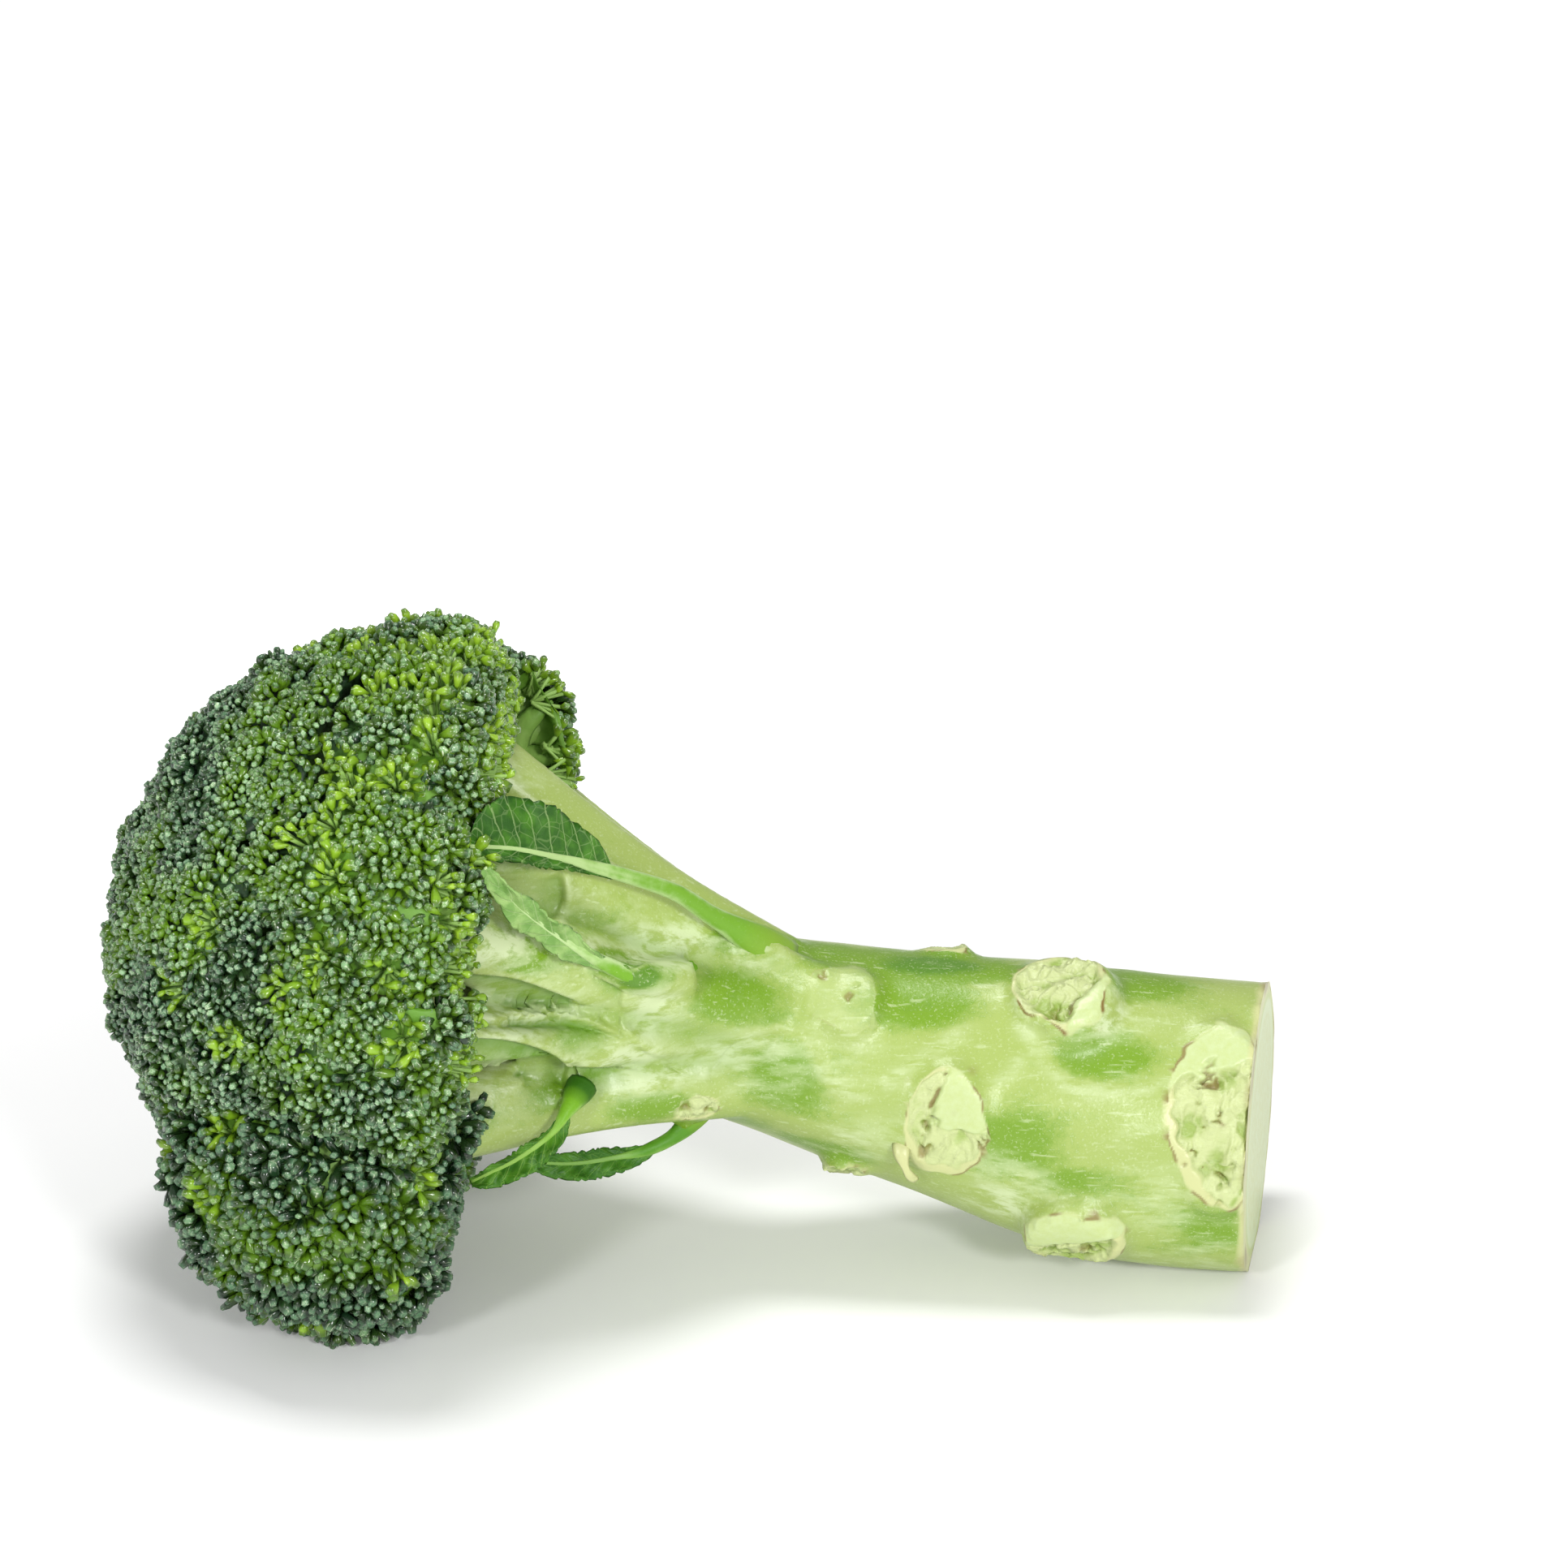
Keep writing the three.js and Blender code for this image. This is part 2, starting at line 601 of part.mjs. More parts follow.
// ---- Leaves ----
// A thin blade with a saw edge, folded a little along a round midrib that runs on as a leafstalk.
function leafSolid(leaf) {
  const curve = new THREE.CatmullRomCurve3(leaf.line.map((p) => new THREE.Vector3(...p)));
  const face = new THREE.Vector3(...leaf.face).normalize();
  const half = LEAF_THICKNESS / 2;
  const rings = [];
  for (let k = 0; k <= LEAF_STATIONS; k++) {
    const share = k / LEAF_STATIONS;
    const centre = curve.getPointAt(share);
    const tangent = curve.getTangentAt(share);
    const up = face.clone().addScaledVector(tangent, -face.dot(tangent)).normalize();
    const side = up.clone().cross(tangent);
    const rib = leaf.rib * (1.1 - 0.6 * share);
    const blade = Math.max(0, (share - leaf.from) / (1 - leaf.from));
    const fill = Math.pow(Math.sin(Math.PI * Math.min(0.96, blade)), 0.7);
    const tooth = k % 2 === 0 ? leaf.teeth * fill : 0;
    const [below, above] = leaf.wide.map((w) => Math.max(w * fill - tooth, rib * 1.05));
    const wave = 0.45 * fill * Math.sin(k * 1.3);
    const point = (across, rise) =>
      centre.clone().addScaledVector(side, across).addScaledVector(up, rise);
    const lowEdge = 0.26 * (below - rib) + wave;
    const highEdge = 0.26 * (above - rib) - wave;
    rings.push([
      point(-above, highEdge - half),
      point(-rib * 0.6, -rib),
      point(rib * 0.6, -rib),
      point(below, lowEdge - half),
      point(below, lowEdge + half),
      point(rib * 0.6, rib * 0.6),
      point(-rib * 0.6, rib * 0.6),
      point(-above, highEdge + half),
    ]);
  }
  return solidFrom(loft(rings));
}

const group = new THREE.Group();
const skins = {
  bud: new THREE.MeshStandardMaterial({ color: 0x3f6b3c, roughness: 0.7, metalness: 0 }),
  stalk: new THREE.MeshStandardMaterial({ color: 0xb9d683, roughness: 0.5, metalness: 0 }),
  leaf: new THREE.MeshStandardMaterial({ color: 0x4f8a3a, roughness: 0.55, metalness: 0 }),
};

function addMesh(name, geometry, material) {
  geometry.translate(HEAD_SHIFT.x, HEAD_SHIFT.y, HEAD_SHIFT.z);
  const mesh = new THREE.Mesh(geometry, material);
  mesh.name = name;
  group.add(mesh);
}

let stalk = trunkSolid();
for (const floret of FLORETS) stalk = stalk.add(branchSolid(floret, 0));
for (const scar of SCARS) {
  const { stub, hollow } = scarSolids(scar);
  stalk = hollow ? stalk.add(stub).subtract(hollow) : stalk.add(stub);
}
stalk = stalk.subtract(beyondCut()).subtract(FLOOR);
addMesh("stalk", geometryOf(stalk), skins.stalk);

const room = FLORETS.map((floret) => branchSolid(floret, NECK_GAP))
  .reduce((sum, solid) => sum.add(solid));
FLORETS.forEach((floret, index) => {
  const solid = floretSolid(floret, index).subtract(room).subtract(FLOOR);
  addMesh(floret.name, geometryOf(solid), skins.bud);
});

for (const leaf of LEAVES) {
  const foot = new THREE.Vector3(...leaf.line[0]);
  const { middle } = trunkAt(foot.x - CROWN_CENTRE.x);
  const away = foot.clone().sub(middle).setX(0).setLength(LEAF_GAP);
  const solid = leafSolid(leaf).subtract(stalk.translate(away.toArray()));
  addMesh(leaf.name, geometryOf(solid), skins.leaf);
}

export default group;
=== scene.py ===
"""A head of broccoli lying on its side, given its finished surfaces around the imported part.

The stalk, its branches and the marks that leaves left on it are one skin. Each floret is a core
with the stems below it and a coat of flower buds over it. Four small leaves stay on the stalk.
Sizes and places in the tables and in the shape code are millimetres, in the part's own frame, and
they become metres when a mesh is written.
"""

import logging
import math
from dataclasses import dataclass, field
from enum import Enum
from typing import Callable, Sequence, Union

import bmesh
import bpy
import numpy as np
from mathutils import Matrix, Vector, noise


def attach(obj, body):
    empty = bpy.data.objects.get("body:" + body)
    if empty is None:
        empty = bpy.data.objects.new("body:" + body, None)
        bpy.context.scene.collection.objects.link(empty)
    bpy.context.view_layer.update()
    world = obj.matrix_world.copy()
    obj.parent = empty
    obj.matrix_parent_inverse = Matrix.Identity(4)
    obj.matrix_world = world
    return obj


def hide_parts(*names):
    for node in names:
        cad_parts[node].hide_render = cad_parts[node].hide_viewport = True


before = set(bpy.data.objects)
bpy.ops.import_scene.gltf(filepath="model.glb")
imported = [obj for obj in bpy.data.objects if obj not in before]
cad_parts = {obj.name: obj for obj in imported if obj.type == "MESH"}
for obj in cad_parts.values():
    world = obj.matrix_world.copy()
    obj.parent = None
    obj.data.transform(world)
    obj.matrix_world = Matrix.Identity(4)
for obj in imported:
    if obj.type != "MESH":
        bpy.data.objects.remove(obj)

log = logging.getLogger("broccoli")

Array = np.ndarray
Colour = tuple[float, float, float]
Point = tuple[float, float, float]
Placing = Callable[[Array, Array], Array]
Shape = bmesh.types.BMesh
Mesh = bpy.types.Mesh

MM = 0.001
SEED = 20731
GOLDEN_ANGLE = math.pi * (3 - math.sqrt(5))
SKEW = (0.29, 0.53, 0.8)

# ---- Places that the whole head is measured from, in millimetres ----
HEAD_SHIFT = np.array([-2.67, 1.5, 0.0])
CROWN_CENTRE = np.array([-41.3, 0.0, 56.0]) + HEAD_SHIFT
CROWN_TILT = math.radians(13)
FORK_DEPTH = 46.0
AXIS = np.array([-math.cos(CROWN_TILT), 0.0, math.sin(CROWN_TILT)])
UP = np.array([math.sin(CROWN_TILT), 0.0, math.cos(CROWN_TILT)])
FRONT = np.array([0.0, -1.0, 0.0])
FORK = CROWN_CENTRE - FORK_DEPTH * AXIS


# ---- Small tools for points ----
def unit(vectors: Array) -> Array:
    """Vectors brought to length 1.

    Args:
        vectors: one vector, or a row of them.

    Returns:
        The same directions with length 1.
    """
    return vectors / np.maximum(np.linalg.norm(vectors, axis=-1, keepdims=True), 1e-9)


def square_to(directions: Array) -> tuple[Array, Array]:
    """Two directions square to each given one and to each other.

    Args:
        directions: one direction of length 1, or a row of them.

    Returns:
        The two, of length 1.
    """
    first = unit(np.cross(directions, SKEW))
    return first, np.cross(directions, first)


def turned(angle: Array, first: Array, second: Array) -> Array:
    """Directions turned by an angle from the first towards the second."""
    return np.cos(angle)[:, None] * first + np.sin(angle)[:, None] * second


def distances(points: Array, others: Array) -> Array:
    """How far each point, a row, is from each of some others, a column."""
    return np.linalg.norm(points[:, None, :] - others[None, :, :], axis=2)


def heading(lean: float, around: float) -> Array:
    """The direction that leans off the crown's axis towards a place round it.

    Args:
        lean: degrees off the axis.
        around: degrees round the axis, 0 to the front and 90 up.

    Returns:
        A direction of length 1.
    """
    outward = math.cos(math.radians(around)) * FRONT + math.sin(math.radians(around)) * UP
    return math.cos(math.radians(lean)) * AXIS + math.sin(math.radians(lean)) * outward


def smooth_step(low: float, high: float, value: Array) -> Array:
    """Rises smoothly from 0 at low to 1 at high."""
    share = np.clip((value - low) / (high - low), 0.0, 1.0)
    return share * share * (3 - 2 * share)


def wavy(points: Array, pitch: float) -> Array:
    """A smooth uneven height from -1 to 1, whose waves are about six times pitch long."""
    x, y, z = (points / pitch).T
    return (
        np.sin(x + 1.3 * np.sin(y)) + np.sin(y + 1.3 * np.sin(z)) + np.sin(z + 1.3 * np.sin(x))
    ) / 3


class Line:
    """A smooth curve through a few points, measured by share of its length."""

    SAMPLES = 24
    STEP = 0.02

    def __init__(self, points: Sequence[Sequence[float]]) -> None:
        """Keeps the curve as many short straight steps.

        Args:
            points: the points that the curve passes through.
        """
        given = np.array(points, float)
        padded = np.vstack([2 * given[0] - given[1], given, 2 * given[-1] - given[-2]])
        shares = np.linspace(0, 1, self.SAMPLES, endpoint=False)[:, None]
        steps = []
        for before, start, end, after in zip(padded, padded[1:], padded[2:], padded[3:]):
            slope = end - before
            bend = 2 * before - 5 * start + 4 * end - after
            twist = 3 * start - before - 3 * end + after
            steps.append(0.5 * (2 * start + slope * shares + bend * shares**2 + twist * shares**3))
        self.points = np.vstack(steps + [given[-1:]])
        lengths = np.linalg.norm(np.diff(self.points, axis=0), axis=1)
        self.shares = np.concatenate([[0.0], np.cumsum(lengths)]) / lengths.sum()

    def at(self, share: Array) -> Array:
        """The points at shares of the curve's length."""
        return np.stack([np.interp(share, self.shares, row) for row in self.points.T], axis=-1)

    def tangent(self, share: Array) -> Array:
        """The curve's direction at shares of its length."""
        ahead = self.at(np.clip(share + self.STEP, 0, 1))
        return unit(ahead - self.at(np.clip(share - self.STEP, 0, 1)))


def shifted_line(points: Sequence[Point]) -> Line:
    """A curve through points that are given before the head's shift."""
    return Line(np.array(points) + HEAD_SHIFT)


# ---- Meshes ----
def nearest_on(steps: Array, points: Array) -> tuple[Array, Array]:
    """The places on a run of short straight lines that are nearest to points.

    Args:
        steps: the ends of the short lines, in order.
        points: what they are nearest to.

    Returns:
        The places, and how far along the run they are, from 0 to 1.
    """
    starts, ways = steps[:-1], np.diff(steps, axis=0)
    offset = points[:, None, :] - starts[None, :, :]
    share = np.clip(np.sum(offset * ways, axis=2) / np.sum(ways**2, axis=1), 0, 1)
    places = starts + share[..., None] * ways
    nearest = np.linalg.norm(points[:, None, :] - places, axis=2).argmin(axis=1)
    every = np.arange(len(points))
    return places[every, nearest], (nearest + share[every, nearest]) / len(ways)


def ragged(points: Array, size: float) -> Array:
    """Uneven values from about -1 to 1 at points, with lumps about size across."""
    return np.array([2 * noise.noise(Vector(point)) for point in points / size])


def drawn_ball(sides: int, rings: int, place: Placing) -> Shape:
    """A closed skin made by drawing a ball out into another shape.

    Args:
        sides: faces round the ball.
        rings: rows of faces from its first pole to its last.
        place: gives the points for angles round the ball and rings from its first pole.

    Returns:
        The skin, with u round it and v along it, facing outwards.
    """
    shape = bmesh.new()
    shape.loops.layers.uv.new("UVMap")
    bmesh.ops.create_uvsphere(shape, u_segments=sides, v_segments=rings, radius=1.0, calc_uvs=True)
    ball = np.array([vert.co for vert in shape.verts])
    angle = np.arctan2(ball[:, 1], ball[:, 0])
    ring = np.rint(np.arccos(np.clip(ball[:, 2], -1, 1)) / math.pi * rings)
    for vert, point in zip(shape.verts, place(angle, ring)):
        vert.co = point
    if shape.calc_volume(signed=True) < 0:
        bmesh.ops.reverse_faces(shape, faces=shape.faces)
    return shape


def stages(ring: Array, steps: int) -> tuple[Array, Array]:
    """Where a tube's rings lie along it, from 0 to 1, and which of them are its end points."""
    return np.clip((ring - 1) / steps, 0, 1), (ring == 0) | (ring == steps + 2)


def tube(line: Line, steps: int, sides: int, radius: Placing) -> Shape:
    """A closed tube along a line.

    Args:
        line: the tube's middle.
        steps: stretches that it is made of.
        sides: faces round it.
        radius: gives its radius for shares of the line and angles round it.

    Returns:
        The tube.
    """
    chord = np.abs(line.points[-1] - line.points[0])
    hint = np.eye(3)[int(np.argmin(chord))]

    def place(angle: Array, ring: Array) -> Array:
        """Where the ball's points go along the tube."""
        share, is_pole = stages(ring, steps)
        tangent = line.tangent(share)
        across = unit(np.cross(hint, tangent))
        along = np.cross(across, tangent)
        reach = np.where(is_pole, 0.0, radius(share, angle))[:, None]
        return line.at(share) + reach * turned(angle, across, along)

    return drawn_ball(sides, steps + 2, place)


def joined(shapes: Sequence[Shape], name: str) -> Mesh:
    """Several shapes as one mesh, still in millimetres. The shapes are used up.

    Args:
        shapes: what is joined.
        name: the mesh's name.

    Returns:
        The mesh.
    """
    whole = bmesh.new()
    for shape in shapes:
        piece = bpy.data.meshes.new("piece")
        shape.to_mesh(piece)
        shape.free()
        whole.from_mesh(piece)
        bpy.data.meshes.remove(piece)
    mesh = bpy.data.meshes.new(name)
    whole.to_mesh(mesh)
    whole.free()
    return mesh


def numbers(items: bpy.types.bpy_prop_collection, key: str, width: int, kind: type) -> Array:
    """What every item of a mesh says of itself.

    Args:
        items: the mesh's points, corners or faces.
        key: what is read from each.
        width: how many numbers that is.
        kind: the numbers' type.

    Returns:
        The numbers, one item after another.
    """
    values = np.empty(len(items) * width, kind)
    items.foreach_get(key, values)
    return values


def places_of(mesh: Mesh) -> Array:
    """A mesh's points, as rows of an array."""
    return numbers(mesh.vertices, "co", 3, np.float32).reshape(-1, 3).astype(float)


def move_to(mesh: Mesh, points: Array) -> None:
    """Puts a mesh's points somewhere else."""
    mesh.vertices.foreach_set("co", points.astype(np.float32).ravel())
    mesh.update()


def mark(mesh: Mesh, name: str, values: Array) -> None:
    """Keeps one number at each of a mesh's points, for its material to read."""
    layer = mesh.attributes.new(name, "FLOAT", "POINT")
    layer.data.foreach_set("value", values.astype(np.float32))


class Slot(Enum):
    """The record's material slots."""

    STALK = "stalk_skin"
    BUDS = "buds"
    LEAF = "leaf"


def placed(name: str, data: bpy.types.ID) -> bpy.types.Object:
    """Data as an object of the scene."""
    made = bpy.data.objects.new(name, data)
    bpy.context.scene.collection.objects.link(made)
    return made


def hand_over(
    mesh: Mesh, name: str, material: bpy.types.Material, nodes: Sequence[str]
) -> bpy.types.Object:
    """Makes a finished piece of a mesh: in metres, smooth, dressed and fastened to the part.

    Args:
        mesh: the mesh, in millimetres.
        name: the piece's name.
        material: its finish.
        nodes: the nodes of the part that the piece stands for.

    Returns:
        The piece.
    """
    move_to(mesh, places_of(mesh) * MM)
    mesh.polygons.foreach_set("use_smooth", np.ones(len(mesh.polygons), bool))
    mesh.materials.clear()
    mesh.materials.append(material)
    piece = placed(name, mesh)
    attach(piece, "root")
    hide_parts(*nodes)
    mesh.calc_loop_triangles()
    log.info("%s: %d triangles", name, len(mesh.loop_triangles))
    return piece


# ---- Shaders ----
def operator(operation: str, is_turned: bool = False) -> Callable[["Field", "Value"], "Field"]:
    """One of Python's operators on a Field.

    Args:
        operation: what its Math node does.
        is_turned: whether the Field is on the operator's right.

    Returns:
        The method that does it.
    """

    def apply(self: "Field", other: "Value") -> "Field":
        """Adds the Math node."""
        values = (other, self) if is_turned else (self, other)
        return self.graph.maths(operation, *values)

    return apply


class Field:
    """What one socket of a shader gives. Python's operators on it add Math nodes."""

    def __init__(self, graph: "Graph", socket: bpy.types.NodeSocket) -> None:
        """Wraps a socket."""
        self.graph = graph
        self.socket = socket

    __add__ = operator("ADD")
    __radd__ = operator("ADD", is_turned=True)
    __sub__ = operator("SUBTRACT")
    __rsub__ = operator("SUBTRACT", is_turned=True)
    __mul__ = operator("MULTIPLY")
    __rmul__ = operator("MULTIPLY", is_turned=True)


Value = Union[Field, float, tuple]


class Graph:
    """The nodes of one material."""

    def __init__(self, name: str) -> None:
        """Starts an empty material.

        Args:
            name: the material's name.
        """
        self.material = bpy.data.materials.new(name)
        self.material.use_nodes = True
        self.tree = self.material.node_tree
        self.tree.nodes.clear()

    def node(self, kind: str, settings: dict, sockets: dict) -> bpy.types.Node:
        """Adds a node.

        Args:
            kind: the node's type.
            settings: its properties, which are set first.
            sockets: a value or a Field for each input, by name or number.

        Returns:
            The node.
        """
        made = self.tree.nodes.new(kind)
        for key, value in settings.items():
            setattr(made, key, value)
        for key, value in sockets.items():
            if isinstance(value, Field):
                self.tree.links.new(value.socket, made.inputs[key])
            else:
                made.inputs[key].default_value = value
        return made

    def field(self, kind: str, settings: dict, sockets: dict, output: Union[int, str] = 0) -> Field:
        """Adds a node, and gives one of its outputs."""
        return Field(self, self.node(kind, settings, sockets).outputs[output])

    def maths(self, operation: str, *values: Value) -> Field:
        """A Math node on up to three values."""
        return self.field("ShaderNodeMath", {"operation": operation}, dict(enumerate(values)))

    def clamped(self, value: Field) -> Field:
        """The value held between 0 and 1."""
        return self.field("ShaderNodeClamp", {}, {"Value": value})

    def step(self, value: Field, low: float, high: float) -> Field:
        """Rises smoothly from 0 where the value is low to 1 where it is high."""
        sockets = {"Value": value, "From Min": low, "From Max": high}
        return self.field("ShaderNodeMapRange", {"interpolation_type": "SMOOTHSTEP"}, sockets)

    def blend(self, share: Value, first: Value, second: Value) -> Field:
        """A colour between two others."""
        first, second = (v if isinstance(v, Field) else (*v, 1.0) for v in (first, second))
        sockets = {0: share, 6: first, 7: second}
        return self.field("ShaderNodeMix", {"data_type": "RGBA"}, sockets, 2)

    def layered(self, colour: Value, *layers: tuple[Value, Value]) -> Field:
        """A colour with others laid over it in turn.

        Args:
            colour: the lowest one.
            layers: for each of the others, how much it covers, and the colour.

        Returns:
            What they make together.
        """
        for share, over in layers:
            colour = self.blend(share, colour, over)
        return colour

    def mark(self, name: str) -> Field:
        """A number that the mesh keeps at its points."""
        return self.field("ShaderNodeAttribute", {"attribute_name": name}, {}, "Fac")

    def millimetres(self, along: float = 1.0) -> Field:
        """The place on the piece in millimetres, the one along the stalk multiplied by along."""
        place = self.field("ShaderNodeTexCoord", {}, {}, "Object")
        scale = (along / MM, 1 / MM, 1 / MM)
        return self.field("ShaderNodeMapping", {}, {"Vector": place, "Scale": scale})

    def round_and_along(self) -> tuple[Field, Field]:
        """The mesh's own u, round a piece, and v, along it."""
        place = self.field("ShaderNodeTexCoord", {}, {}, "UV")
        both = self.node("ShaderNodeSeparateXYZ", {}, {0: place})
        return Field(self, both.outputs[0]), Field(self, both.outputs[1])

    def noise(self, place: Field, size: float, detail: float = 2.0, rough: float = 0.5) -> Field:
        """An uneven number from 0 to 1, whose lumps are about size millimetres across."""
        sockets = {"Vector": place, "Scale": 1 / size, "Detail": detail, "Roughness": rough}
        return self.field("ShaderNodeTexNoise", {}, sockets, "Fac")

    def bump(self, height: Field, strength: float) -> Field:
        """The surface's direction with a relief of that height in millimetres."""
        sockets = {"Height": height, "Strength": strength, "Distance": MM}
        return self.field("ShaderNodeBump", {}, sockets)

    def finish(self, sockets: dict) -> bpy.types.Material:
        """Closes the material with a Principled shader.

        Args:
            sockets: a value or a Field for each of the shader's inputs.

        Returns:
            The material.
        """
        shader = self.field("ShaderNodeBsdfPrincipled", {}, sockets)
        self.node("ShaderNodeOutputMaterial", {}, {0: shader})
        return self.material


@dataclass(frozen=True)
class BudFinish:
    """The waxy skin of the flower buds, with painted shade and painted highlights on it.

    Each bud reads its height from its own v, and tone and warm from its points. Its low sides are
    darkened with painted shade, as in the gaps between buds; its top, its sepal seams and the ring
    round its tip are paler, partly from its bloom and pale sepal edges and partly as painted
    highlights.
    """

    # The painted shade that the low sides of the buds take, as in the gaps between them.
    deep: Colour = (0.004, 0.018, 0.006)
    blue: Colour = (0.060, 0.165, 0.075)
    green: Colour = (0.105, 0.250, 0.018)
    # The pale colour of each bud's top: its waxy bloom, and partly a painted highlight.
    wax_and_highlight: Colour = (0.330, 0.550, 0.310)
    neck: Colour = (0.170, 0.360, 0.010)
    ripe: Colour = (0.300, 0.490, 0.030)
    # The pale colour of the sepal seams and the ring round each bud's tip: the sepals' pale edges,
    # and partly a painted highlight.
    margin_and_highlight: Colour = (0.780, 0.900, 0.600)

    def material(self) -> bpy.types.Material:
        """The material of the buds."""
        graph = Graph("bud wax")
        tone, warm = graph.mark("tone"), graph.mark("warm")
        turn, height = graph.round_and_along()
        place = graph.millimetres()
        broad = graph.noise(place, 17.0, detail=1.0)
        patches = graph.noise(place, 5.0)
        specks = graph.noise(place, 0.5)
        greener = graph.step(broad + 0.3 * (tone - 0.5) + 0.5 * warm, 0.40, 0.66)
        # Painted shade: each bud darkens downwards from just below its tip, as the gaps between
        # buds fall in shade.
        shaded = graph.step(height, 0.84, 0.58) * (1.0 - 0.2 * tone)
        # Each bud's top turns pale: its waxy bloom, and partly a painted highlight.
        waxed_and_lit = graph.step(height, 0.56, 0.88) * (0.15 + 0.80 * patches) * (0.25 + 1.1 * tone)
        neck = graph.blend(graph.clamped(1.1 * warm), self.neck, self.ripe)
        yellow = graph.step(broad + 0.4 * (patches - 0.5), 0.46, 0.62)
        low = graph.step(height, 0.72, 0.46) * (0.50 * yellow + 1.6 * warm)
        # The seams and the ring round the tip: pale sepal edges, partly painted highlights.
        quarter = graph.maths("PINGPONG", turn * 4.0 + 0.5 * specks, 0.5)
        seams = graph.step(quarter, 0.12, 0.03) * graph.step(height, 0.45, 0.72)
        ring = graph.step(graph.maths("ABSOLUTE", height - 0.84), 0.055, 0.015) * 0.60
        line = graph.maths("MAXIMUM", seams, ring) * graph.step(specks, 0.38, 0.60)
        skin = graph.layered(
            self.blue,
            (greener, self.green),
            (shaded, self.deep),
            (graph.clamped(waxed_and_lit - 0.3 * warm), self.wax_and_highlight),
            (graph.clamped(low), neck),
            (0.45 * warm, neck),
            (line * (0.25 + 0.75 * tone), self.margin_and_highlight),
        )
        relief = graph.bump(specks * 0.05 + line * 0.10, 0.8)
        return graph.finish(
            {"Base Color": skin, "Roughness": 0.22, "Coat Weight": 0.15, "Normal": relief}
        )


@dataclass(frozen=True)
class StemFinish:
    """The pale skin of the stems below the buds, darker towards the buds: greener, and near-black
    on the dome just under them, which is painted shade.
    """

    pale: Colour = (0.330, 0.520, 0.130)
    green: Colour = (0.115, 0.280, 0.018)
    # The near-black painted shade on the core's outer parts, just under the buds.
    shade_under_buds: Colour = (0.008, 0.034, 0.008)

    def material(self) -> bpy.types.Material:
        """The material of a floret's core and stems."""
        graph = Graph("stem skin")
        outer = graph.mark("outer")
        place = graph.millimetres()
        uneven = outer + 0.3 * (graph.noise(place, 2.5) - 0.5)
        skin = graph.layered(
            self.pale,
            (graph.step(uneven, 0.15, 0.75), self.green),
            # Painted shade under the buds.
            (graph.step(outer, 0.78, 0.98), self.shade_under_buds),
        )
        relief = graph.bump(graph.noise(place, 0.5, detail=3.0) * 0.1, 0.6)
        return graph.finish({"Base Color": skin, "Roughness": 0.5, "Normal": relief})


